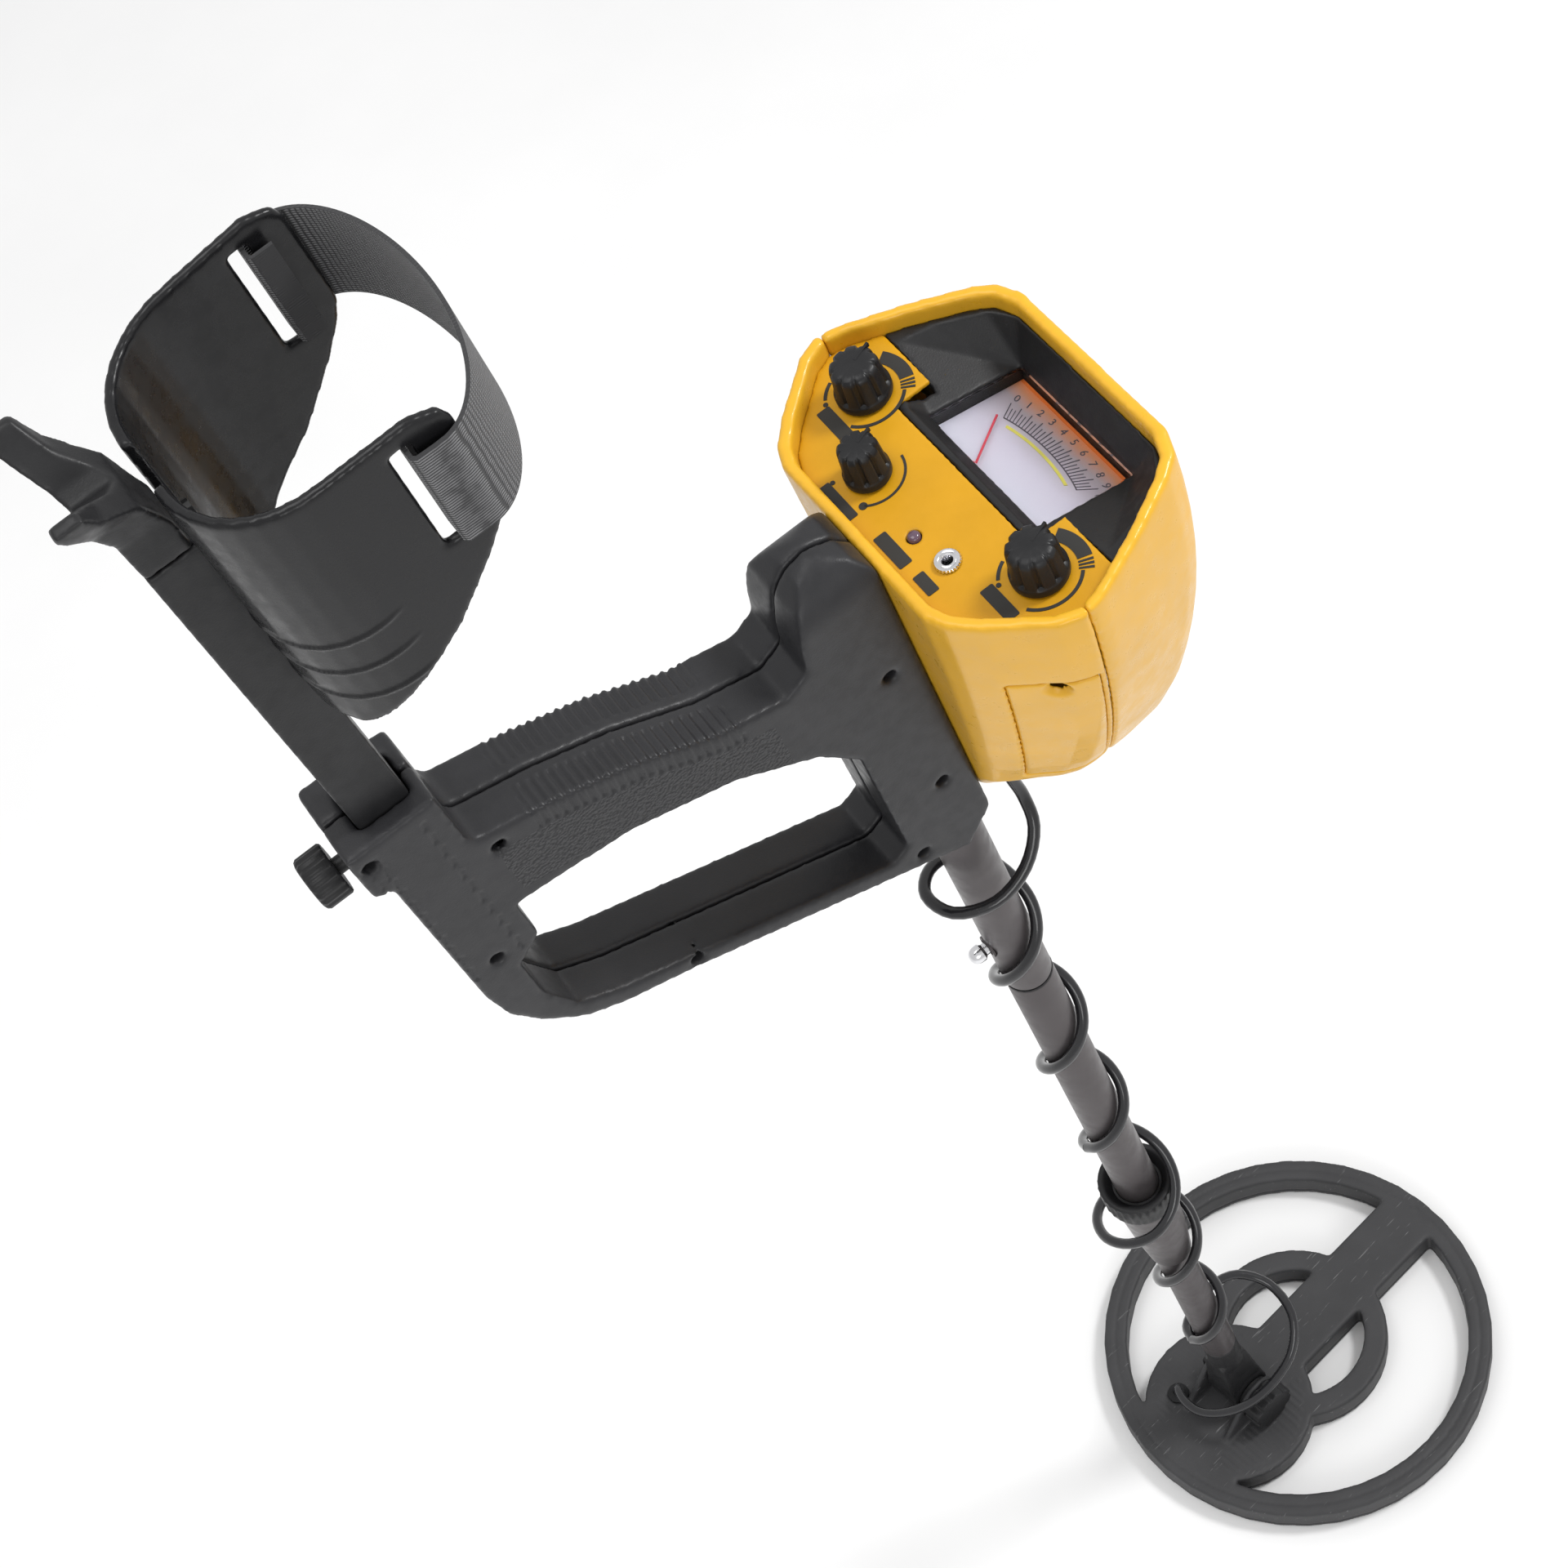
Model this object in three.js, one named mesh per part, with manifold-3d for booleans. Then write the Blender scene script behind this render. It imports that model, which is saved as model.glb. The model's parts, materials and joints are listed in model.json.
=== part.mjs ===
// Hand-held metal detector: a search coil on a telescoping shaft, a D-handle with an arm rest,
// and a control housing with a needle meter. Millimetres, +Z up, +X the way the coil points.
// The origin is the middle of the hand grip. The coil lies level and the shaft leans back over it.
import * as THREE from 'three';
import { mergeVertices } from 'three/addons/utils/BufferGeometryUtils.js';
import { ConvexGeometry } from 'three/addons/geometries/ConvexGeometry.js';
import Module from 'manifold-3d';

const wasm = await Module();
wasm.setup();

// ---- driving dimensions ------------------------------------------------------------------
const GAP = 0.3; // clearance kept between neighbouring pieces
const SHAFT_LEAN = 6.5; // degrees that the shaft leans back from upright
const HANDLE_TWIST = 10; // degrees that the handle is turned on the shaft, clockwise from above
const GRIP_CENTRE = new THREE.Vector3(-90, 0, 803); // in the shaft's frame, whose origin is the coil bolt

const TUBE_R = 10.2; // upper and middle tubes
const TUBE_WALL = 0.7;
const LOWER_TUBE_R = 9.1;
const JOINT_Z = 513; // where the middle tube meets the upper tube
const UPPER_TUBE_TOP = 790;
const NECK_LENGTH = 62; // swaged end of the middle tube inside the upper tube
const SNAP_BUTTON_Z = 548;
const LOCK_Z = 274; // underside of the twist lock's collar
const LOCK_COLLAR_R = 18.2;
const LOCK_COLLAR_HEIGHT = 15;
const LOCK_NUT_END_Z = 200;
const LOWER_TUBE_TOP = 430;
const LOWER_TUBE_BOTTOM = 62;

const COIL_R = 105;
const RING_WIDTH = 12.5;
const COIL_THICKNESS = 17;
const COIL_TOP_Z = -15; // below the bolt
const RING_CENTRE_X = 45;
const DISC_R = 45.5;
const DISC_X = -9;
const INNER_RING_R = 49.5;
const BAR_HALF_WIDTH = 16.7;
const BASE_PLATE = 4; // thickness of the coil's bottom cover
const CABLE_ENTRY = { x: -24, y: 23 };
const EAR_R = 12;
const EAR_INNER_Y = 12.5;
const EAR_THICKNESS = 3.2;
const YOKE_HALF_WIDTH = 10.4;
const HINGE_KNOB_R = 13;
const HINGE_KNOB_DEPTH = 11;
const BOLT_R = 3;

const HANDLE_HALF_WIDTH = 17.5;
const BLOCK_TOP_Z = 862;
const STEM = { x0: -166.5, x1: -147.5, halfWidth: 9, bottom: 792, top: 1002 };
const CLAMP_KNOB_Z = 842;

const RIM_Z = 816;
const PANEL_Z = 809;
const HOUSING_BOTTOM_Z = 670;
const HOUSING_BACK_X = 12.5;
const HOUSING_SEAM_X = 52;
const HOUSING_WALL = 2.5;
const HOUSING_LENGTH = 98.7; // back to front at the rim
const PANEL_SPLIT_X = 69.5; // yellow plate below, black meter hood above
const HOOD_TONGUE = { x: 55.4, halfWidth: 38 };
const CONTROLS = {
  disc: { x: 51, y: 50, r: 10 },
  volume: { x: 33, y: 22, r: 8.3 },
  power: { x: 51, y: -50, r: 10 },
};
const KNOB_HEIGHT = 16;
const BOARD_Z = PANEL_Z - 13;
const LAMP = { x: 29.6, y: -8.9, r: 2.4 };
const JACK = { x: 32, y: -25, r: 4.6 };
const METER = { x: 80.75, z: 798.2, tilt: 13.2, halfLength: 18.9, halfWidth: 31.3 };
const METER_PIVOT_X = -27; // needle pivot, towards the user from the window's middle
const NEEDLE_REST = 37; // degrees to the left of the window's middle line
const BATTERY = { x: 17.5, y: 26.5, z: 48.5 };
const BATTERY_DOOR = { x0: 24, x1: 49.5, z0: 690, z1: 776 };

const CABLE_R = 2.5;
const CABLE_EXIT = { x: 26, y: -5 };
const HELIX_PITCH = 87;

// ---- colours -----------------------------------------------------------------------------
function finish(color, roughness, metalness = 0) {
  return new THREE.MeshStandardMaterial({ color, roughness, metalness });
}
const YELLOW = finish('#edb630', 0.38);
const PANEL_YELLOW = finish('#d9a21c', 0.45);
const BLACK = finish('#2b2b2d', 0.5);
const HANDLE_GREY = finish('#37373a', 0.55);
const GLOSS_BLACK = finish('#1b1c1e', 0.25);
const COIL_GREY = finish('#48484b', 0.6);
const TUBE_GREY = finish('#6b6567', 0.35, 0.6);
const STEEL = finish('#b9babd', 0.25, 1);
const WHITE = finish('#e9eaf0', 0.6);
const RED = finish('#c8343c', 0.5);
const COPPER = finish('#a4602f', 0.35, 0.9);
const GREEN = finish('#2c5a3c', 0.5);
const CLEAR = new THREE.MeshStandardMaterial({ color: '#f2e6dc', roughness: 0.05, transparent: true, opacity: 0.3 });
const RUBBER = finish('#1f1f21', 0.8);
const WEBBING = finish('#232427', 0.9);

// ---- frames ------------------------------------------------------------------------------
// tool: the part's own frame. shaft: origin at the coil bolt, Z up the shaft. handle: the
// shaft's frame turned by the twist. coil: origin at the bolt, level.
const tool = new THREE.Group();
const carrier = new THREE.Group();
const shaft = new THREE.Group();
const handle = new THREE.Group();
const coil = new THREE.Group();
const meter = new THREE.Group();
tool.add(carrier);
carrier.add(shaft, coil);
shaft.add(handle);
handle.add(meter);
shaft.rotation.y = THREE.MathUtils.degToRad(-SHAFT_LEAN);
handle.rotation.z = THREE.MathUtils.degToRad(-HANDLE_TWIST);
meter.position.set(METER.x, 0, METER.z);
meter.rotation.y = THREE.MathUtils.degToRad(METER.tilt);
carrier.position.copy(GRIP_CENTRE).applyEuler(handle.rotation).applyEuler(shaft.rotation).negate();

function add(frame, name, geometry, material) {
  const mesh = new THREE.Mesh(geometry, material);
  mesh.name = name;
  frame.add(mesh);
}

// ---- shape helpers -----------------------------------------------------------------------
function signedVolume(geometry) {
  const position = geometry.attributes.position;
  const corner = [new THREE.Vector3(), new THREE.Vector3(), new THREE.Vector3()];
  let volume = 0;
  for (let i = 0; i < geometry.index.count; i += 3) {
    corner.forEach((point, k) => point.fromBufferAttribute(position, geometry.index.getX(i + k)));
    volume += corner[0].dot(corner[1].cross(corner[2])) / 6;
  }
  return volume;
}

// Shared vertices merged and faces pointing out.
function closed(geometry) {
  const bare = geometry.clone();
  bare.deleteAttribute('normal');
  bare.deleteAttribute('uv');
  const merged = mergeVertices(bare, 1e-3);
  if (signedVolume(merged) < 0) {
    const index = merged.index.array;
    for (let i = 0; i < index.length; i += 3) {
      [index[i], index[i + 1]] = [index[i + 1], index[i]];
    }
  }
  return merged;
}

function toSolid(geometry) {
  const merged = closed(geometry);
  return new wasm.Manifold(new wasm.Mesh({
    numProp: 3,
    vertProperties: new Float32Array(merged.attributes.position.array),
    triVerts: new Uint32Array(merged.index.array),
  }));
}

function toGeometry(solid) {
  const mesh = solid.getMesh();
  const geometry = new THREE.BufferGeometry();
  geometry.setAttribute('position', new THREE.BufferAttribute(new Float32Array(mesh.vertProperties), 3));
  geometry.setIndex(new THREE.BufferAttribute(new Uint32Array(mesh.triVerts), 1));
  geometry.computeVertexNormals();
  return geometry;
}

function join(first, ...others) {
  return toGeometry(others.reduce((solid, other) => solid.add(toSolid(other)), toSolid(first)));
}

function cut(first, ...others) {
  return toGeometry(others.reduce((solid, other) => solid.subtract(toSolid(other)), toSolid(first)));
}

function common(first, second) {
  return toGeometry(toSolid(first).intersect(toSolid(second)));
}

function box(x0, x1, y0, y1, z0, z1) {
  const geometry = new THREE.BoxGeometry(x1 - x0, y1 - y0, z1 - z0);
  return geometry.translate((x0 + x1) / 2, (y0 + y1) / 2, (z0 + z1) / 2);
}

// An upright rod whose top and bottom radii may differ.
function rod(radius, z0, z1, x = 0, y = 0, segments = 20, topRadius = radius) {
  const geometry = new THREE.CylinderGeometry(topRadius, radius, z1 - z0, segments);
  return geometry.rotateX(Math.PI / 2).translate(x, y, (z0 + z1) / 2);
}

function rodAlongY(radius, y0, y1, x, z, segments = 20) {
  return rod(radius, y0, y1, 0, 0, segments).rotateX(-Math.PI / 2).translate(x, 0, z);
}

function rodAlongX(radius, x0, x1, y, z, segments = 20) {
  return rod(radius, x0, x1, 0, 0, segments).rotateY(Math.PI / 2).translate(0, y, z);
}

// A body turned about Z from [radius, height] points; open profiles start and end on the axis.
function turned(profile, segments = 24) {
  const points = profile.map(([radius, height]) => new THREE.Vector2(radius, height));
  return new THREE.LatheGeometry(points, segments).rotateX(Math.PI / 2);
}

function ring(inner, outer, z0, z1, segments = 24) {
  return turned([[inner, z0], [outer, z0], [outer, z1], [inner, z1], [inner, z0]], segments);
}

function shapeOf(points) {
  return new THREE.Shape(points.map(([a, b]) => new THREE.Vector2(a, b)));
}

// A side-view outline of [x, z] points, carried from y0 to y1.
function sideSlab(points, y0, y1) {
  const shape = points instanceof THREE.Shape ? points : shapeOf(points);
  const geometry = new THREE.ExtrudeGeometry(shape, { depth: y1 - y0, bevelEnabled: false, curveSegments: 8 });
  return geometry.rotateX(Math.PI / 2).translate(0, y1, 0);
}

// A plan outline of [x, y] points, carried from z0 to z1.
function planSlab(points, z0, z1, curveSegments = 8) {
  const shape = points instanceof THREE.Shape ? points : shapeOf(points);
  const geometry = new THREE.ExtrudeGeometry(shape, { depth: z1 - z0, bevelEnabled: false, curveSegments });
  return geometry.translate(0, 0, z0);
}

function circleShape(radius, x = 0, y = 0) {
  return new THREE.Shape().absarc(x, y, radius, 0, Math.PI * 2);
}

function mirrored(halfOutline) {
  const far = [...halfOutline].reverse().map(([x, y]) => [x, -y]);
  return [...halfOutline, ...far];
}

function cable(points, steps, sides = 6) {
  const section = [];
  for (let i = 0; i < sides; i += 1) {
    const angle = (i / sides) * Math.PI * 2;
    section.push([CABLE_R * Math.cos(angle), CABLE_R * Math.sin(angle)]);
  }
  const path = new THREE.CatmullRomCurve3(points, false, 'centripetal');
  return new THREE.ExtrudeGeometry(shapeOf(section), { extrudePath: path, steps });
}

// ---- search coil -------------------------------------------------------------------------
function annulus(outer, inner, x, z0, z1) {
  const shape = circleShape(outer, x);
  shape.holes.push(new THREE.Path().absarc(x, 0, inner, 0, Math.PI * 2));
  return planSlab(shape, z0, z1, 20);
}

function coilOutline(z0, z1, shrink) {
  const outer = annulus(COIL_R - shrink, COIL_R - RING_WIDTH + shrink, RING_CENTRE_X, z0, z1);
  const inner = annulus(INNER_RING_R - shrink, INNER_RING_R - RING_WIDTH + shrink, RING_CENTRE_X, z0, z1);
  const disc = planSlab(circleShape(DISC_R - shrink, DISC_X), z0, z1, 16);
  const barEnd = RING_CENTRE_X + COIL_R - RING_WIDTH / 2;
  const bar = box(DISC_X, barEnd, -BAR_HALF_WIDTH + shrink, BAR_HALF_WIDTH - shrink, z0, z1);
  return join(outer, inner, disc, bar);
}

function buildCoil() {
  const bottom = COIL_TOP_Z - COIL_THICKNESS;
  const cover = bottom + BASE_PLATE;
  const windingZ = cover + GAP;
  const txGroove = annulus(COIL_R - 2.2, COIL_R - RING_WIDTH + 2.2, RING_CENTRE_X, cover - 1, cover + 8);
  const rxGroove = annulus(INNER_RING_R - 2.2, INNER_RING_R - RING_WIDTH + 2.2, RING_CENTRE_X, cover - 1, cover + 8);
  const ears = [-1, 1].map((side) => {
    const near = EAR_INNER_Y;
    const far = EAR_INNER_Y + EAR_THICKNESS;
    const [y0, y1] = side < 0 ? [-far, -near] : [near, far];
    const plate = new THREE.Shape();
    plate.moveTo(-EAR_R - 17, COIL_TOP_Z - 1);
    plate.lineTo(EAR_R + 6, COIL_TOP_Z - 1);
    plate.lineTo(EAR_R, 0);
    plate.absarc(0, 0, EAR_R, 0, Math.PI * 0.8);
    return sideSlab(plate, y0, y1);
  });
  const boltHole = rodAlongY(BOLT_R + GAP, -30, 30, 0, 0, 16);
  const cableHole = rod(CABLE_R + 2 + GAP, COIL_TOP_Z - 8, COIL_TOP_Z + 2, CABLE_ENTRY.x, CABLE_ENTRY.y, 16);
  const yokeRelief = rodAlongY(EAR_R + 1.5, -EAR_INNER_Y, EAR_INNER_Y, 0, 0, 32);
  const body = cut(join(coilOutline(cover, COIL_TOP_Z, 0), ...ears), txGroove, rxGroove, boltHole, cableHole, yokeRelief);
  add(coil, 'coil_housing', body, COIL_GREY);
  add(coil, 'coil_base_cover', coilOutline(bottom, cover - GAP, 0.4), COIL_GREY);
  add(coil, 'transmit_winding', annulus(COIL_R - 2.6, COIL_R - RING_WIDTH + 2.6, RING_CENTRE_X, windingZ, windingZ + 6), COPPER);
  add(coil, 'receive_winding', annulus(INNER_RING_R - 2.6, INNER_RING_R - RING_WIDTH + 2.6, RING_CENTRE_X, windingZ, windingZ + 6), COPPER);
  const grommet = turned([[CABLE_R + 0.5, -5], [CABLE_R + 1.8, -5], [CABLE_R + 1.8, 0.3], [CABLE_R + 3.2, 0.3],
    [CABLE_R + 2.4, 3.5], [CABLE_R + 0.5, 3.5], [CABLE_R + 0.5, -5]], 16);
  add(coil, 'coil_grommet', grommet.translate(CABLE_ENTRY.x, CABLE_ENTRY.y, COIL_TOP_Z), RUBBER);
}

// ---- coil hinge --------------------------------------------------------------------------
function buildHinge() {
  const earOuter = EAR_INNER_Y + EAR_THICKNESS;
  const w = YOKE_HALF_WIDTH;
  const eye = rodAlongY(EAR_R, -w, w, 0, 0, 28);
  const blade = new ConvexGeometry([-1, 1].flatMap((side) => [
    new THREE.Vector3(-11.5, side * w, 3), new THREE.Vector3(11.5, side * w, 3),
    new THREE.Vector3(-8.6, side * w * 0.65, 42), new THREE.Vector3(8.6, side * w * 0.65, 42)]));
  const neck = rod(9.1, 36, LOWER_TUBE_BOTTOM - GAP, 0, 0, 28);
  const plug = rod(LOWER_TUBE_R - 0.9 - GAP, LOWER_TUBE_BOTTOM - 1, LOWER_TUBE_BOTTOM + 30, 0, 0, 28);
  const hole = rodAlongY(BOLT_R + GAP, -20, 20, 0, 0, 16);
  add(shaft, 'yoke_stem', cut(join(eye, blade, neck, plug), hole), BLACK);
  for (const [side, name] of [[-1, 'right'], [1, 'left']]) {
    const washer = ring(BOLT_R + GAP, 9.5, w + GAP, EAR_INNER_Y - GAP, 24).rotateX(-side * Math.PI / 2);
    add(coil, `hinge_washer_${name}`, washer, RUBBER);
  }
  const boltShank = rodAlongY(BOLT_R, -earOuter - HINGE_KNOB_DEPTH + 3, earOuter + GAP, 0, 0, 16);
  const boltHead = rodAlongY(6.2, earOuter + GAP, earOuter + 4.5, 0, 0, 6);
  add(coil, 'hinge_bolt', join(boltShank, boltHead), BLACK);
  const knob = rodAlongY(HINGE_KNOB_R, -earOuter - HINGE_KNOB_DEPTH, -earOuter - GAP, 0, 0, 24);
  const flutes = [];
  for (let i = 0; i < 8; i += 1) {
    const angle = (i / 8) * Math.PI * 2;
    flutes.push(rodAlongY(2.6, -earOuter - HINGE_KNOB_DEPTH - 1, -earOuter, (HINGE_KNOB_R + 1) * Math.cos(angle), (HINGE_KNOB_R + 1) * Math.sin(angle), 8));
  }
  const bore = rodAlongY(BOLT_R + GAP, -earOuter - HINGE_KNOB_DEPTH + 3 - GAP, 0, 0, 0, 16);
  add(coil, 'hinge_knob', cut(knob, ...flutes, bore), BLACK);
}

// ---- telescoping shaft -------------------------------------------------------------------
function tube(outer, inner, z0, z1) {
  return ring(inner, outer, z0, z1, 24);
}

function buildShaft() {
  const inner = TUBE_R - TUBE_WALL;
  const neckR = inner - GAP;
  const buttonHole = rodAlongX(3.7 + GAP, -14, 0, 0, SNAP_BUTTON_Z, 16);
  const screwHoles = HANDLE_SCREWS.filter(([x]) => x === 0).map(([x, z]) => rodAlongY(1.2 + GAP, -20, 20, x, z, 10));
  add(handle, 'upper_tube', cut(tube(TUBE_R, inner, JOINT_Z + 1.5, UPPER_TUBE_TOP), buttonHole, ...screwHoles), TUBE_GREY);
  const middle = turned([[inner, LOCK_Z + 4], [TUBE_R, LOCK_Z + 4], [TUBE_R, JOINT_Z - GAP], [neckR, JOINT_Z - GAP],
    [neckR, JOINT_Z + NECK_LENGTH], [neckR - TUBE_WALL, JOINT_Z + NECK_LENGTH], [neckR - TUBE_WALL, JOINT_Z - 1.5],
    [inner, JOINT_Z - 3], [inner, LOCK_Z + 4]]);
  add(handle, 'middle_tube', cut(middle, buttonHole), TUBE_GREY);
  add(handle, 'joint_ring', ring(neckR + GAP, TUBE_R + 0.15, JOINT_Z, JOINT_Z + 1.2), RUBBER);
  add(shaft, 'lower_tube', tube(LOWER_TUBE_R, LOWER_TUBE_R - 0.9, LOWER_TUBE_BOTTOM, LOWER_TUBE_TOP), TUBE_GREY);

  const button = turned([[0, 0], [2.6, 0], [2.6, 6.2], [3.7, 7.4], [3.7, 9.6], [2.9, 11.4], [1.5, 12.4], [0, 12.7]], 20);
  add(handle, 'snap_button', button.rotateY(-Math.PI / 2).translate(-6.2, 0, SNAP_BUTTON_Z), STEEL);
  const leaf = new THREE.CatmullRomCurve3([[-5.6, -2], [-4.4, 10], [0, 17], [4.4, 10], [6.6, -16]].map(
    ([x, z]) => new THREE.Vector3(x, 0, SNAP_BUTTON_Z + z)));
  const strip = shapeOf([[-2, -0.3], [2, -0.3], [2, 0.3], [-2, 0.3]]);
  add(handle, 'snap_spring', new THREE.ExtrudeGeometry(strip, { extrudePath: leaf, steps: 16 }), STEEL);

  const collarTop = LOCK_Z + LOCK_COLLAR_HEIGHT;
  const collar = turned([[LOWER_TUBE_R + 0.4, LOCK_Z], [LOCK_COLLAR_R, LOCK_Z], [LOCK_COLLAR_R, collarTop],
    [LOCK_COLLAR_R - 3.5, collarTop], [TUBE_R + 1.4, collarTop - 5], [TUBE_R + GAP, collarTop - 5],
    [TUBE_R + GAP, LOCK_Z + 4 - GAP], [LOWER_TUBE_R + 0.4, LOCK_Z + 4 - GAP], [LOWER_TUBE_R + 0.4, LOCK_Z]]);
  add(shaft, 'lock_collar', collar, BLACK);
  const nutTop = LOCK_Z - GAP;
  const nut = turned([[12.2, LOCK_NUT_END_Z + 24], [LOWER_TUBE_R + 0.5, LOCK_NUT_END_Z + 10],
    [LOWER_TUBE_R + 0.5, LOCK_NUT_END_Z], [LOWER_TUBE_R + 1.5, LOCK_NUT_END_Z], [12.4, LOCK_NUT_END_Z + 22],
    [14.6, nutTop - 8], [14.6, nutTop], [12.2, nutTop], [12.2, LOCK_NUT_END_Z + 24]]);
  add(shaft, 'lock_nut', nut, TUBE_GREY);
  const collet = turned([[LOWER_TUBE_R + GAP, LOCK_NUT_END_Z + 28], [11, LOCK_NUT_END_Z + 28], [11.8, LOCK_NUT_END_Z + 36],
    [11.8, nutTop - 2], [LOWER_TUBE_R + GAP, nutTop - 2], [LOWER_TUBE_R + GAP, LOCK_NUT_END_Z + 28]]);
  const slits = [0, 60, 120].map((turn) => box(-14, 14, -0.6, 0.6, LOCK_NUT_END_Z + 20, nutTop - 14)
    .rotateZ(THREE.MathUtils.degToRad(turn)));
  add(shaft, 'lock_collet', cut(collet, ...slits), BLACK);
}

// ---- D-handle ----------------------------------------------------------------------------
// Side view of the frame, [x, z]: rear block, grip, front post and bottom bar round the finger opening.
const FRAME_OUTLINE = [
  [-176, BLOCK_TOP_Z], [-176, 839], [-170, 836], [-170, 757], [-167.5, 741], [-160, 726], [-148, 712],
  [-134, 704], [-109, 694.5], [-1.3, 647], [12, 661], [12, 817], [7, 824], [-3, 828.5], [-12, 826], [-18, 820],
  [-22, 808], [-24, 796], [-34, 791], [-58, 798], [-87, 814], [-115, 825], [-140, 832], [-142.5, 836],
  [-142.5, BLOCK_TOP_Z]];
const FINGER_OPENING = [
  [-143, 791], [-143, 770], [-154, 762], [-154, 740], [-147, 722], [-132, 712.5], [-30, 669], [-22, 673],
  [-22, 735], [-34, 752], [-62, 771], [-100, 785]];
const DOME = { x: -34, z: 811, r: 17.5 };
const HANDLE_SCREWS = [[-171, 853], [-136, 822], [-159, 773], [-106, 698], [-18, 662], [0, 765], [0, 693]];

// The post's top is round from side to side.
function domeOver(x0) {
  const arch = new THREE.Shape();
  arch.moveTo(-DOME.r, 600);
  arch.lineTo(DOME.r, 600);
  arch.lineTo(DOME.r, DOME.z);
  arch.absarc(0, DOME.z, DOME.r, 0, Math.PI);
  const geometry = new THREE.ExtrudeGeometry(arch, { depth: 60, bevelEnabled: false, curveSegments: 10 });
  return geometry.rotateX(Math.PI / 2).rotateZ(Math.PI / 2).translate(x0, 0, 0);
}

function buildHandle() {
  const socket = box(STEM.x0 - GAP, STEM.x1 + GAP, -STEM.halfWidth - GAP, STEM.halfWidth + GAP, STEM.bottom - 12, 900);
  const tubeBore = rod(TUBE_R + GAP, 600, UPPER_TUBE_TOP + 2, 0, 0, 32);
  const clampHole = rodAlongX(3 + GAP, -180, -160, 0, CLAMP_KNOB_Z, 16);
  const gripPocket = [[-136, 822], [-114, 815.5], [-86, 804], [-60, 789], [-40, 781], [-32, 765], [-60, 781], [-98, 794], [-136, 800]];
  for (const [side, name] of [[-1, 'right'], [1, 'left']]) {
    const y0 = side < 0 ? -HANDLE_HALF_WIDTH : GAP / 2;
    const y1 = side < 0 ? -GAP / 2 : HANDLE_HALF_WIDTH;
    const shape = shapeOf(FRAME_OUTLINE);
    shape.holes.push(new THREE.Path(FINGER_OPENING.map(([x, z]) => new THREE.Vector2(x, z))));
    const pocket = sideSlab(gripPocket, side < 0 ? -14 : -1, side < 0 ? 1 : 14);
    const wells = HANDLE_SCREWS.map(([x, z]) => rodAlongY(side < 0 ? 2.6 : 1.5, side < 0 ? -20 : -1, side < 0 ? -10 : 12, x, z, 12));
    const throats = side < 0 ? HANDLE_SCREWS.map(([x, z]) => rodAlongY(1.5, -11, 1, x, z, 12)) : [];
    const slab = sideSlab(shape, y0, y1);
    const domed = join(common(slab, box(-200, DOME.x, -30, 30, 600, 900)), common(slab, domeOver(DOME.x)));
    const half = cut(domed, socket, tubeBore, clampHole, pocket, ...wells, ...throats);
    add(handle, `handle_shell_${name}`, half, HANDLE_GREY);
  }
  const screws = HANDLE_SCREWS.map(([x, z]) => join(rodAlongY(2.3, -13.5, -10 - GAP, x, z, 10), rodAlongY(1.2, -10.5, 10, x, z, 8)));
  screws.forEach((screw, i) => add(handle, `handle_screw_${i + 1}`, screw, STEEL));
}

// ---- arm rest ----------------------------------------------------------------------------
const STRAP_RISE = 24; // how far the strap arches beyond the cuff's wings
const CUFF = { bottomX: -147, halfFlat: 12, cornerR: 32, topX: -78, thickness: 3.2, slotX: -93 };

function cuffSection(offset) {
  const { bottomX, halfFlat, cornerR, topX } = CUFF;
  const r = cornerR + offset;
  const centreX = bottomX + cornerR;
  const right = [[topX, -(halfFlat + r) - 2]];
  for (let i = 0; i <= 8; i += 1) {
    const angle = (i / 8) * Math.PI / 2;
    right.push([centreX - r * Math.sin(angle), -halfFlat - r * Math.cos(angle)]);
  }
  const left = [...right].reverse().map(([x, y]) => [x, -y]);
  return [...right, ...left];
}

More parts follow.
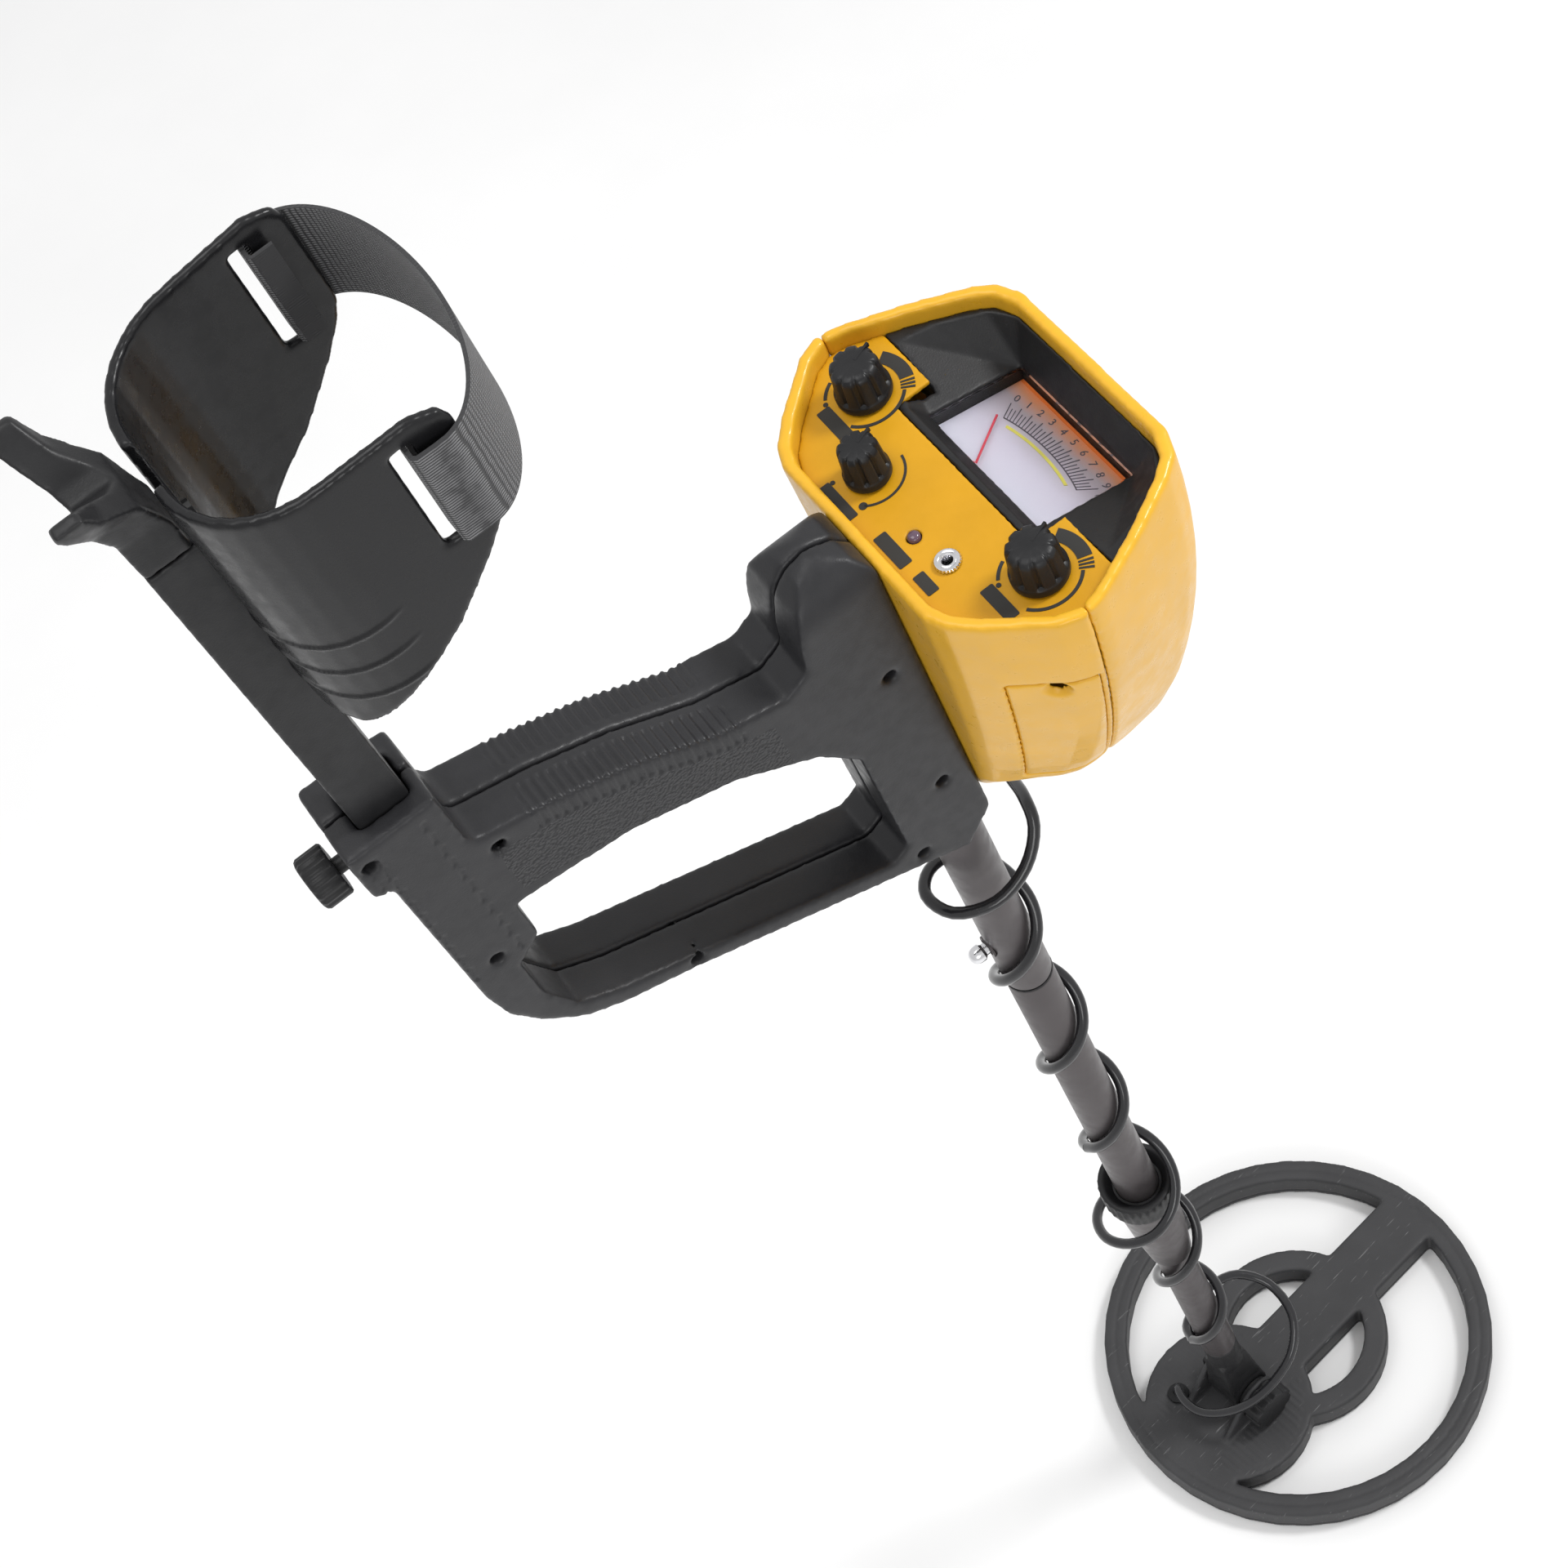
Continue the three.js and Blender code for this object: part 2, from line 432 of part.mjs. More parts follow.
function buildArmRest() {
  const stem = box(STEM.x0, STEM.x1, -STEM.halfWidth, STEM.halfWidth, STEM.bottom, STEM.top);
  const hollow = box(STEM.x0 + 2, STEM.x1 - 2, -STEM.halfWidth + 2, STEM.halfWidth - 2, STEM.bottom - 1, STEM.top + 1);
  add(handle, 'arm_stem', cut(stem, hollow), BLACK);

  const profile = [...cuffSection(CUFF.thickness), ...cuffSection(0).reverse()];
  const wall = planSlab(profile, 920, 1038);
  // side view of the cuff: its front edge sweeps back towards the top
  const outline = [[-152, 929], [-143, 929], [-126, 943], [-106, 957], [-89, 974], [-81, 984], [-77, 993], [-77, 1024],
    [-80, 1031], [-88, 1034], [-152, 1029]];
  const slots = [-1, 1].map((side) => box(CUFF.slotX - 4.5, CUFF.slotX + 2.5, side * 40, side * 54, 987, 1027));
  const screwHoles = [950, 1005].map((z) => rodAlongX(2 + GAP, -156, -140, 0, z, 12));
  const cuffBody = cut(common(wall, sideSlab(outline, -60, 60)), slots[0], slots[1], ...screwHoles,
    box(STEM.x0 - GAP, STEM.x1 + GAP, -STEM.halfWidth - GAP, STEM.halfWidth + GAP, 900, 1040));
  add(handle, 'arm_cuff', cuffBody, GLOSS_BLACK);
  [950, 1005].forEach((z, i) => {
    const head = rodAlongX(3.6, CUFF.bottomX + GAP, CUFF.bottomX + 2.2, 0, z, 12);
    const shank = rodAlongX(1.9, STEM.x1 + GAP, CUFF.bottomX + 1, 0, z, 10);
    add(handle, `cuff_screw_${i + 1}`, join(head, shank), STEEL);
  });

  // rear foot: a plug in the stem, flaring into two prongs
  const plan = mirrored([[STEM.top + GAP, 9], [1018, 9.6], [1030, 13], [1042, 21], [1049, 24], [1050, 20],
    [1043, 13], [1034, 5.5], [1031, 0.01]]).map(([z, y]) => [-y, z]);
  const planBody = new THREE.ExtrudeGeometry(shapeOf(plan), { depth: 34, bevelEnabled: false });
  planBody.rotateX(Math.PI / 2).rotateZ(Math.PI / 2).translate(-180, 0, 0);
  const side = [[-166.5, 1000], [-150.8, 1000], [-150.8, 1014], [-155, 1030], [-164, 1040], [-169, 1052],
    [-176, 1052], [-177, 1046], [-172, 1034], [-167, 1020]];
  const footBody = common(planBody, sideSlab(side, -30, 30));
  const plug = box(STEM.x0 + 2 + GAP, STEM.x1 - 2 - GAP, -STEM.halfWidth + 2 + GAP, STEM.halfWidth - 2 - GAP, STEM.top - 24, STEM.top + 1);
  add(handle, 'rear_foot', join(footBody, plug), BLACK);

  // clamp screw that bears on the stem from below, with its fluted head
  const head = rodAlongX(9.5, -190, -179.5, 0, CLAMP_KNOB_Z, 20);
  add(handle, 'stem_clamp_knob', join(head, rodAlongX(3, -180, STEM.x0 - GAP, 0, CLAMP_KNOB_Z, 16)), BLACK);

  // webbing strap over the forearm, from slot to slot
  add(handle, 'arm_strap', planSlab([...strapPath(0), ...strapPath(1.4).reverse()], 988, 1026), WEBBING);
}

// The strap in plan: anchored inside one wing, out through its slot, over the arm and back the same way.
function strapPath(thickness) {
  const t = thickness;
  const x = CUFF.slotX;
  const right = [[x + 8, -42.4 + t], [x + 1.5 - 0.36 * t, -42.4 + t], [x + 1 - t, -43 + 0.43 * t],
    [x + 1 - t, -50.8 - 0.43 * t], [x + 1.6 - 0.43 * t, -51.4 - t], [x + 7, -51.6 - t]];
  const arch = [];
  for (let i = 1; i < 14; i += 1) {
    const angle = -Math.PI / 2 + (i / 14) * Math.PI;
    arch.push([x + 9 + (STRAP_RISE + t) * Math.cos(angle), (51.6 + t) * Math.sin(angle)]);
  }
  const left = [...right].reverse().map(([x, y]) => [x, -y]);
  return [...right, ...arch, ...left];
}

// ---- control housing ---------------------------------------------------------------------
const RIM_HALF_OUTLINE = [
  [12.5, 41], [15.5, 49], [24, 58.5], [34, 67], [42, 74], [50, 77], [58, 75.5], [80, 65.5], [100, 54.5],
  [107.5, 48.5], [111.2, 39]];
const POD_HEIGHT = RIM_Z - HOUSING_BOTTOM_Z;

// The housing's tapered body, drawn in by inset on every side; open outlines scale towards the shaft side.
function pod(inset, z0, z1, steps) {
  const geometry = planSlabSteps(mirrored(RIM_HALF_OUTLINE), z0, z1, steps);
  const position = geometry.attributes.position;
  for (let i = 0; i < position.count; i += 1) {
    const depth = (RIM_Z - position.getZ(i)) / POD_HEIGHT;
    const along = (position.getX(i) - HOUSING_BACK_X) / HOUSING_LENGTH;
    const rounding = Math.max(0, depth - 0.85) ** 2 * 6;
    const length = 1 - 0.02 * depth - 0.3 * depth * depth - rounding;
    const rearWidth = 1 - 0.14 * depth - 0.44 * depth * depth;
    const frontWidth = 1 + 0.35 * depth - 0.6 * depth * depth;
    const width = THREE.MathUtils.lerp(rearWidth, frontWidth, along * along) - rounding;
    const scaleX = length * (1 - (2 * inset) / HOUSING_LENGTH);
    const scaleY = width * (1 - inset / 77 / width);
    position.setX(i, HOUSING_BACK_X + inset + (position.getX(i) - HOUSING_BACK_X) * scaleX);
    position.setY(i, position.getY(i) * scaleY);
  }
  return geometry;
}

function planSlabSteps(points, z0, z1, steps) {
  const geometry = new THREE.ExtrudeGeometry(shapeOf(points), { depth: z1 - z0, steps, bevelEnabled: false });
  return geometry.translate(0, 0, z0);
}

function inMeterFrame(geometry) {
  meter.updateMatrix();
  return geometry.applyMatrix4(meter.matrix);
}

function buildHousing() {
  const outer = pod(0, HOUSING_BOTTOM_Z, RIM_Z, 10);
  const inner = pod(HOUSING_WALL, HOUSING_BOTTOM_Z + HOUSING_WALL, PANEL_Z - 3, 8);
  const recess = pod(4.2, PANEL_Z - 3.5, RIM_Z + 1, 1);
  const shell = cut(outer, inner, recess);
  const far = 200;
  const glandHole = rod(4 + GAP, HOUSING_BOTTOM_Z - 12, HOUSING_BOTTOM_Z + 8, CABLE_EXIT.x, CABLE_EXIT.y, 16);
  const doorBoxes = [[-80, -18], [18, 80]].map(([y0, y1]) => box(BATTERY_DOOR.x0, BATTERY_DOOR.x1, y0, y1, BATTERY_DOOR.z0, BATTERY_DOOR.z1));
  const lower = common(shell, box(0, HOUSING_SEAM_X - 0.15, -far, far, 600, 900));
  const upper = common(shell, box(HOUSING_SEAM_X + 0.15, far, -far, far, 600, 900));
  add(handle, 'housing_lower_shell', cut(lower, glandHole, ...doorBoxes), YELLOW);
  add(handle, 'housing_upper_shell', upper, YELLOW);
  ['right', 'left'].forEach((name, i) => {
    const side = i === 0 ? -1 : 1;
    const opening = box(BATTERY_DOOR.x0 + GAP, BATTERY_DOOR.x1 - GAP, side < 0 ? -80 : 18, side < 0 ? -18 : 80,
      BATTERY_DOOR.z0 + GAP, BATTERY_DOOR.z1 - GAP);
    const notch = new THREE.SphereGeometry(6, 12, 8).translate(35, side * 67.2, 771);
    add(handle, `battery_door_${name}`, cut(common(lower, opening), notch), YELLOW);
    const y0 = side < 0 ? -BATTERY.y - 1 : 1;
    add(handle, `battery_${name}`, box(26, 26 + BATTERY.x, y0, y0 + BATTERY.y, 692, 692 + BATTERY.z), GREEN);
  });
  const speaker = turned([[0, 0], [9, 0], [9, 5], [20, 9], [20, 12], [0, 12]], 24);
  add(handle, 'speaker', speaker.translate(62, 0, 738), BLACK);
  const gland = turned([[CABLE_R + GAP, -10], [4, -10], [4, 0 + 3.2], [5.6, 3.2], [5.6, 5], [CABLE_R + GAP, 5], [CABLE_R + GAP, -10]], 16);
  add(handle, 'cable_gland', gland.translate(CABLE_EXIT.x, CABLE_EXIT.y, HOUSING_BOTTOM_Z), RUBBER);
}

function buildFace() {
  const plate = pod(4.5, PANEL_Z - 2, PANEL_Z, 1);
  const tongue = box(HOOD_TONGUE.x, PANEL_SPLIT_X + 1, -HOOD_TONGUE.halfWidth, HOOD_TONGUE.halfWidth, 790, 830);
  const upperArea = box(PANEL_SPLIT_X, 130, -90, 90, 770, 830);
  const holes = Object.values(CONTROLS).map(({ x, y }) => rod(3.6 + GAP, 800, 815, x, y, 16));
  const lampHole = rod(LAMP.r + GAP, 800, 815, LAMP.x, LAMP.y, 16);
  const jackHole = rod(JACK.r - 1, 800, 815, JACK.x, JACK.y, 16);
  add(handle, 'face_panel', cut(plate, tongue, upperArea, ...holes, lampHole, jackHole), PANEL_YELLOW);

  const hoodArea = join(box(PANEL_SPLIT_X + GAP, 130, -90, 90, 788, 830),
    box(HOOD_TONGUE.x + GAP, PANEL_SPLIT_X + 1, -HOOD_TONGUE.halfWidth + GAP, HOOD_TONGUE.halfWidth - GAP, 788, 830));
  const hoodBlock = common(pod(4.6, 788, PANEL_Z, 1), hoodArea);
  const mouth = [[57.5, 36], [70.5, 60], [84, 56.5], [100, 47], [106, 38]];
  const funnelTop = mouth.flatMap(([x, y]) => [new THREE.Vector3(x, y, PANEL_Z + 0.5), new THREE.Vector3(x, -y, PANEL_Z + 0.5)]);
  const { halfLength, halfWidth } = METER;
  meter.updateMatrix();
  const funnelBottom = [[-1, -1], [-1, 1], [1, -1], [1, 1]].map(([a, b]) => new THREE.Vector3(
    a * (halfLength - 0.4), b * (halfWidth - 0.4), 0.2).applyMatrix4(meter.matrix));
  const funnel = new ConvexGeometry([...funnelTop, ...funnelBottom]);
  const aperture = inMeterFrame(box(-halfLength, halfLength, -halfWidth, halfWidth, -8, 3));
  const caseRoom = inMeterFrame(box(-31 - GAP, 21.5 + GAP, -33.5 - GAP, 33.5 + GAP, -40, -2));
  add(handle, 'meter_hood', cut(hoodBlock, funnel, aperture, caseRoom), BLACK);
}

function buildMeter() {
  const { halfLength, halfWidth } = METER;
  const inset = 0.3;
  add(meter, 'meter_window', box(-halfLength + inset, halfLength - inset, -halfWidth + inset, halfWidth - inset, -1.6, 0), CLEAR);
  const outerCase = box(-31, 21.5, -33.5, 33.5, -22, -2.3);
  const caseHollow = box(-29, 19.5, -31.5, 31.5, -20, 0);
  add(meter, 'meter_case', cut(outerCase, caseHollow), BLACK);
  const pivotHole = rod(1.6, -12, -4, METER_PIVOT_X, 0, 12);
  add(meter, 'meter_dial', cut(box(-28.7, 19.2, -31.2, 31.2, -7.4, -6.6), pivotHole), WHITE);
  const spindle = rod(1.2, -14.5, -4.4, METER_PIVOT_X, 0, 10);
  const pointer = box(METER_PIVOT_X, METER_PIVOT_X + 36, -0.35, 0.35, -5.2, -4.6).translate(-METER_PIVOT_X, 0, 0)
    .rotateZ(THREE.MathUtils.degToRad(NEEDLE_REST)).translate(METER_PIVOT_X, 0, 0);
  add(meter, 'meter_needle', join(spindle, pointer), RED);
}

function buildControls() {
  for (const [name, { x, y, r }] of Object.entries(CONTROLS)) {
    const top = PANEL_Z + 1 + KNOB_HEIGHT;
    const body = turned([[0, PANEL_Z + 1], [r, PANEL_Z + 1], [r, PANEL_Z + 4], [r * 0.86, top - 3.5], [r * 0.7, top - 1], [r * 0.4, top], [0, top]], 24);
    const flutes = [];
    for (let i = 0; i < 9; i += 1) {
      const angle = (i / 9) * Math.PI * 2 + 0.2;
      flutes.push(rod(1.5, PANEL_Z + 5, top + 1, (r + 0.2) * Math.cos(angle), (r + 0.2) * Math.sin(angle), 6));
    }
    const spindle = rod(2.6, PANEL_Z - 7, PANEL_Z + 2, 0, 0, 16);
    add(handle, `${name}_knob`, join(cut(body, ...flutes), spindle).translate(x, y, 0), BLACK);
  }
  const pots = Object.values(CONTROLS).map(({ x, y }) => join(ring(2.6 + GAP, 3.6, PANEL_Z - 4, PANEL_Z + 0.6, 16),
    ring(2.6 + GAP, 8, PANEL_Z - 11, PANEL_Z - 2 - GAP, 24), rod(8, BOARD_Z, PANEL_Z - 10, 0, 0, 24)).translate(x, y, 0));
  const board = planSlab(mirrored([[20, 40], [33, 54], [60, 58]]), BOARD_Z, BOARD_Z + 1.6);
  const meterNotch = box(45, 70, -39, 39, BOARD_Z - 5, BOARD_Z + 5);
  add(handle, 'control_board', join(cut(board, meterNotch), ...pots), GREEN);
  add(handle, 'battery_lamp', turned([[0, PANEL_Z - 6], [LAMP.r, PANEL_Z - 6], [LAMP.r, PANEL_Z + 0.4], [LAMP.r * 0.6, PANEL_Z + 1.2], [0, PANEL_Z + 1.4]], 16)
    .translate(LAMP.x, LAMP.y, 0), RED);
  const jackBody = turned([[1.9, PANEL_Z - 11], [5, PANEL_Z - 11], [5, PANEL_Z - 2 - GAP], [JACK.r - 1.4, PANEL_Z - 2 - GAP],
    [JACK.r - 1.4, PANEL_Z + GAP], [JACK.r, PANEL_Z + GAP], [JACK.r, PANEL_Z + 1.6], [1.9, PANEL_Z + 1.6], [1.9, PANEL_Z - 11]], 24);
  add(handle, 'headphone_jack', jackBody.translate(JACK.x, JACK.y, 0), STEEL);
}

// ---- coil cable --------------------------------------------------------------------------
// Angle about the shaft for a height on the winding: a right-handed helix.
function helixPoint(turns, radius) {
  const angle = -turns * Math.PI * 2;
  return new THREE.Vector3(radius * Math.cos(angle), radius * Math.sin(angle), 568.5 - turns * HELIX_PITCH);
}

// Distance of the cable's centre from the shaft's axis: close on the tubes, wide round the lock.
function windingRadius(z) {
  const close = z > LOCK_Z ? TUBE_R + CABLE_R + 0.5 : LOWER_TUBE_R + CABLE_R + 0.7;
  const lockBulge = 13.5 * Math.exp(-(((z - 268) / 30) ** 2));
  const nutBulge = 4.2 * Math.exp(-(((z - 228) / 26) ** 2));
  return close + lockBulge + nutBulge;
}

function windingPoints(fromTurn, toTurn) {
  const points = [];
  const perTurn = 12;
  for (let i = Math.round(fromTurn * perTurn); i <= Math.round(toTurn * perTurn); i += 1) {
    const turns = i / perTurn;
    const z = 568.5 - turns * HELIX_PITCH;
    points.push(helixPoint(turns, windingRadius(z)));
  }
  return points;
}

function buildCable() {
  const exit = [668, 660, 648].map((z) => new THREE.Vector3(CABLE_EXIT.x, CABLE_EXIT.y, z).applyEuler(handle.rotation));
  const lead = [[25, -12, 636], [21, -18, 625], [9, -22, 615], [-7, -20, 609],
    [-20, -9, 607], [-21, 5, 606], [-12, 14, 602], [2, 15.5, 594], [10.5, 9.5, 582]].map(([x, y, z]) => new THREE.Vector3(x, y, z));
  const upper = [...exit, ...lead, ...windingPoints(0, 2.5)];
  add(shaft, 'cable_upper', cable(upper, 62), GLOSS_BLACK);
  const lower = windingPoints(2.5, 5.5);
  const last = lower[lower.length - 1];
  lower[0] = lower[0].clone().lerp(lower[1], 0.12);
  add(shaft, 'cable_lower', cable(lower, 48), GLOSS_BLACK);
  const second = new THREE.Vector3(-8, 9.5, 84);
  const loop = [last.clone().lerp(second, 0.14), second];
  for (const [x, y, z] of [[4, 15, 79], [18, 18.5, 73], [33, 15, 65], [41, 2, 57], [38, -15, 49], [25, -25, 39],
    [8, -26, 29], [-9, -21, 20], [-21, -11, 12], [-28, 2, 5], [-28, 14, 1]]) {
    loop.push(new THREE.Vector3(x, y, z));
  }
  for (const z of [-7, -12, -20]) {
    loop.push(new THREE.Vector3(CABLE_ENTRY.x, CABLE_ENTRY.y, z).applyEuler(shaft.rotation.clone().set(0, -shaft.rotation.y, 0)));
  }
  add(shaft, 'cable_loop', cable(loop, 36), GLOSS_BLACK);
}

buildCoil();
buildHinge();
buildShaft();
buildHandle();
buildArmRest();
buildHousing();
buildFace();
buildMeter();
buildControls();
buildCable();

export default tool;
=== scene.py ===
"""Looks of the hand-held metal detector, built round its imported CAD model."""
import json
import math

import bmesh
import bpy
import numpy as np
from mathutils import Matrix, Vector


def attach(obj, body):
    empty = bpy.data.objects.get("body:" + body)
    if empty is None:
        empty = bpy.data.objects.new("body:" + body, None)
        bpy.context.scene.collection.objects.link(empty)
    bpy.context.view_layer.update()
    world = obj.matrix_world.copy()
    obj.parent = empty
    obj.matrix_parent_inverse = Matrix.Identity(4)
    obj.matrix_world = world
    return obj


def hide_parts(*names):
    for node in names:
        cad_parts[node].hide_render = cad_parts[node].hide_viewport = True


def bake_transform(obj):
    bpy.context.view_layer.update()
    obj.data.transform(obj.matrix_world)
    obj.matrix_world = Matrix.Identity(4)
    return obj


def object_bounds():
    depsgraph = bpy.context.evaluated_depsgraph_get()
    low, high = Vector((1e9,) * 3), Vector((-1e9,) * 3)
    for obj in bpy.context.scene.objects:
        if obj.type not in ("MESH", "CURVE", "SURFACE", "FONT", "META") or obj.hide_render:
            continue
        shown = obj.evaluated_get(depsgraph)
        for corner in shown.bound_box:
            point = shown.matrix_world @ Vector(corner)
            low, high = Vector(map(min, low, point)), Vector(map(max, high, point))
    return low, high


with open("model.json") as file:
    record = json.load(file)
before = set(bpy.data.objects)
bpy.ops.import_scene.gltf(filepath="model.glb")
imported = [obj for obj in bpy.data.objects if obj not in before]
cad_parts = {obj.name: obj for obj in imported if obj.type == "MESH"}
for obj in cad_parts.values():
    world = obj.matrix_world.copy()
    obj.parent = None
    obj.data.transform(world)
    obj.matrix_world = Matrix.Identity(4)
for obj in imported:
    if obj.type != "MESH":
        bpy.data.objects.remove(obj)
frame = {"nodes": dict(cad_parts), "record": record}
CAD_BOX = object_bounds()
NODES = frame["nodes"]

# ---- frames: millimetres in the named frame, to metres in the model's frame ----------------
LEAN = Matrix.Rotation(math.radians(-6.5), 4, "Y")
TWIST = Matrix.Rotation(math.radians(-10), 4, "Z")
GRIP_CENTRE = Vector((-90, 0, 803))
COIL = Matrix.Scale(0.001, 4) @ Matrix.Translation(-(LEAN @ TWIST @ GRIP_CENTRE))
SHAFT = COIL @ LEAN
HANDLE = SHAFT @ TWIST
METER = HANDLE @ Matrix.Translation((80.75, 0, 798.2)) @ Matrix.Rotation(math.radians(13.2), 4, "Y")

PANEL_Z = 809
CABLE_R = 2.5
HELIX_PITCH = 87
LOCK_Z = 274
TUBE_R = 10.2
LOWER_TUBE_R = 9.1
CUFF_SLOT_X = -93
STRAP_RISE = 24  # how far the strap arches beyond the cuff's wings
STRAP_BOTTOM = 988.3
STRAP_WIDTH = 37.4


def link(obj):
    bpy.context.scene.collection.objects.link(obj)
    return obj


# ---- camera, floor and light ---------------------------------------------------------------
def make_camera():
    camera = link(bpy.data.objects.new("camera", bpy.data.cameras.new("camera")))
    camera.location = (-0.2298, -0.5727, 0.7875)
    camera.rotation_euler = [math.radians(angle) for angle in (34.60, 11.87, -43.04)]
    camera.data.lens = 71.25
    camera.data.sensor_width = 36
    camera.data.clip_start = 0.01
    camera.data.clip_end = 50
    bpy.context.scene.camera = camera


def area_light(name, place, aim, size, power, colour=(1, 1, 1)):
    data = bpy.data.lights.new(name, "AREA")
    data.shape = "DISK"
    data.size = size
    data.energy = power
    data.color = colour
    lamp = link(bpy.data.objects.new(name, data))
    lamp.location = place
    lamp.rotation_euler = (Vector(aim) - Vector(place)).to_track_quat("-Z", "Y").to_euler()


def make_studio():
    scene = bpy.context.scene
    scene.view_settings.view_transform = "Standard"
    world = bpy.data.worlds.new("studio")
    world.use_nodes = True
    background = world.node_tree.nodes["Background"]
    background.inputs["Color"].default_value = (1, 1, 1, 1)
    background.inputs["Strength"].default_value = 0.75
    scene.world = world
    area_light("key", (1.3, -0.5, 1.5), (0.05, 0, 0), 0.5, 24)
    area_light("overhead", (-0.5, 0.3, 1.9), (0, 0, 0), 1.2, 12)
    area_light("side", (-0.9, -1.5, 0.6), (0, 0, -0.1), 0.9, 8)
    bpy.ops.mesh.primitive_plane_add(size=14, location=(0, 0, CAD_BOX[0].z - 0.0004))
    floor = bpy.context.object
    floor.name = "floor"
    floor.data.materials.append(floor_material())


# ---- materials -----------------------------------------------------------------------------
def add_node(tree, kind, values=(), **settings):
    made = tree.nodes.new(kind)
    for key, value in settings.items():
        setattr(made, key, value)
    for key, value in dict(values).items():
        made.inputs[key].default_value = value
    return made


def new_material(name, colour, roughness, values=()):
    material = bpy.data.materials.new(name)
    material.use_nodes = True
    shader = material.node_tree.nodes["Principled BSDF"]
    shader.inputs["Base Color"].default_value = (*colour, 1)
    shader.inputs["Roughness"].default_value = roughness
    for key, value in dict(values).items():
        shader.inputs[key].default_value = value
    return material, material.node_tree, shader


def coordinates(tree, stretch=(1, 1, 1), turn=(0, 0, 0)):
    source = add_node(tree, "ShaderNodeTexCoord")
    mapping = add_node(tree, "ShaderNodeMapping", {"Scale": stretch, "Rotation": turn})
    tree.links.new(source.outputs["Object"], mapping.inputs["Vector"])
    return mapping.outputs["Vector"]


def noise_at(tree, where, scale, detail=4.0):
    made = add_node(tree, "ShaderNodeTexNoise", {"Scale": scale, "Detail": detail, "Roughness": 0.6})
    tree.links.new(where, made.inputs["Vector"])
    return made.outputs["Fac"]


def ramp(tree, factor, *stops):
    made = add_node(tree, "ShaderNodeValToRGB")
    elements = made.color_ramp.elements
    while len(elements) < len(stops):
        elements.new(0.5)
    for element, (position, colour) in zip(elements, stops):
        element.position = position
        element.color = (*colour, 1)
    tree.links.new(factor, made.inputs["Fac"])
    return made.outputs["Color"]


def spread(tree, factor, low, high, start=0.35, end=0.65):
    made = add_node(tree, "ShaderNodeMapRange",
                    {"From Min": start, "From Max": end, "To Min": low, "To Max": high})
    tree.links.new(factor, made.inputs["Value"])
    return made.outputs["Result"]


def bump(tree, height, strength, distance):
    made = add_node(tree, "ShaderNodeBump", {"Strength": strength, "Distance": distance})
    tree.links.new(height, made.inputs["Height"])
    return made.outputs["Normal"]


def scaled(colour, factor):
    return tuple(min(1.0, channel * factor) for channel in colour)


def moulded(name, colour, roughness, variation=0.12, grain=1500.0, relief=0.25, blotch=45.0,
            shine=0.3, values=()):
    """Plastic, rubber or painted metal: slow colour drift, fine grain and uneven gloss."""
    material, tree, shader = new_material(name, colour, roughness,
                                          {"Specular IOR Level": shine, **dict(values)})
    where = coordinates(tree)
    drift = noise_at(tree, where, blotch)
    tint = ramp(tree, drift, (0.3, scaled(colour, 1 - variation)), (0.7, scaled(colour, 1 + variation)))
    tree.links.new(tint, shader.inputs["Base Color"])
    tree.links.new(spread(tree, noise_at(tree, where, blotch * 4), roughness - 0.06, roughness + 0.08),
                   shader.inputs["Roughness"])
    tree.links.new(bump(tree, noise_at(tree, where, grain, 2.0), relief, 0.0002), shader.inputs["Normal"])
    return material


def leather_grained(name, colour, roughness):
    """Moulded leather grain: small rounded cells, their middles painted lighter as a highlight and their
    edges darker as painted shade in the creases.
    """
    material, tree, shader = new_material(name, colour, roughness, {"Specular IOR Level": 0.35})
    where = coordinates(tree)
    cells = add_node(tree, "ShaderNodeTexVoronoi", {"Scale": 900.0}, feature="SMOOTH_F1")
    tree.links.new(where, cells.inputs["Vector"])
    height = spread(tree, cells.outputs["Distance"], 1.0, 0.0, 0.1, 0.7)
    # painted shade and highlight: the cell distance lightens each cell's middle and darkens the creases
    # between cells
    tint = ramp(tree, cells.outputs["Distance"], (0.2, scaled(colour, 1.25)), (0.8, scaled(colour, 0.6)))
    tree.links.new(tint, shader.inputs["Base Color"])
    tree.links.new(bump(tree, height, 0.9, 0.0005), shader.inputs["Normal"])
    return material


def scratched(name, colour, roughness):
    """Matt plastic with fine handling scratches and a speckled grain."""
    material, tree, shader = new_material(name, colour, roughness, {"Specular IOR Level": 0.35})
    drift = noise_at(tree, coordinates(tree), 30.0)
    where = coordinates(tree, (60, 900, 300), (0, 0, math.radians(35)))
    lines = noise_at(tree, where, 1.0, 3.0)
    base = ramp(tree, drift, (0.3, scaled(colour, 0.88)), (0.7, scaled(colour, 1.14)))
    marks = ramp(tree, lines, (0.66, (0, 0, 0)), (0.72, (0.3, 0.3, 0.3)))
    mixed = add_node(tree, "ShaderNodeMix", {}, data_type="RGBA", blend_type="ADD")
    mixed.inputs[0].default_value = 0.35
    tree.links.new(base, mixed.inputs[6])
    tree.links.new(marks, mixed.inputs[7])
    tree.links.new(mixed.outputs[2], shader.inputs["Base Color"])
    tree.links.new(spread(tree, lines, roughness, roughness - 0.12, 0.6, 0.72), shader.inputs["Roughness"])
    grain = noise_at(tree, coordinates(tree), 1800.0, 2.0)
    tree.links.new(bump(tree, grain, 0.35, 0.0002), shader.inputs["Normal"])
    return material


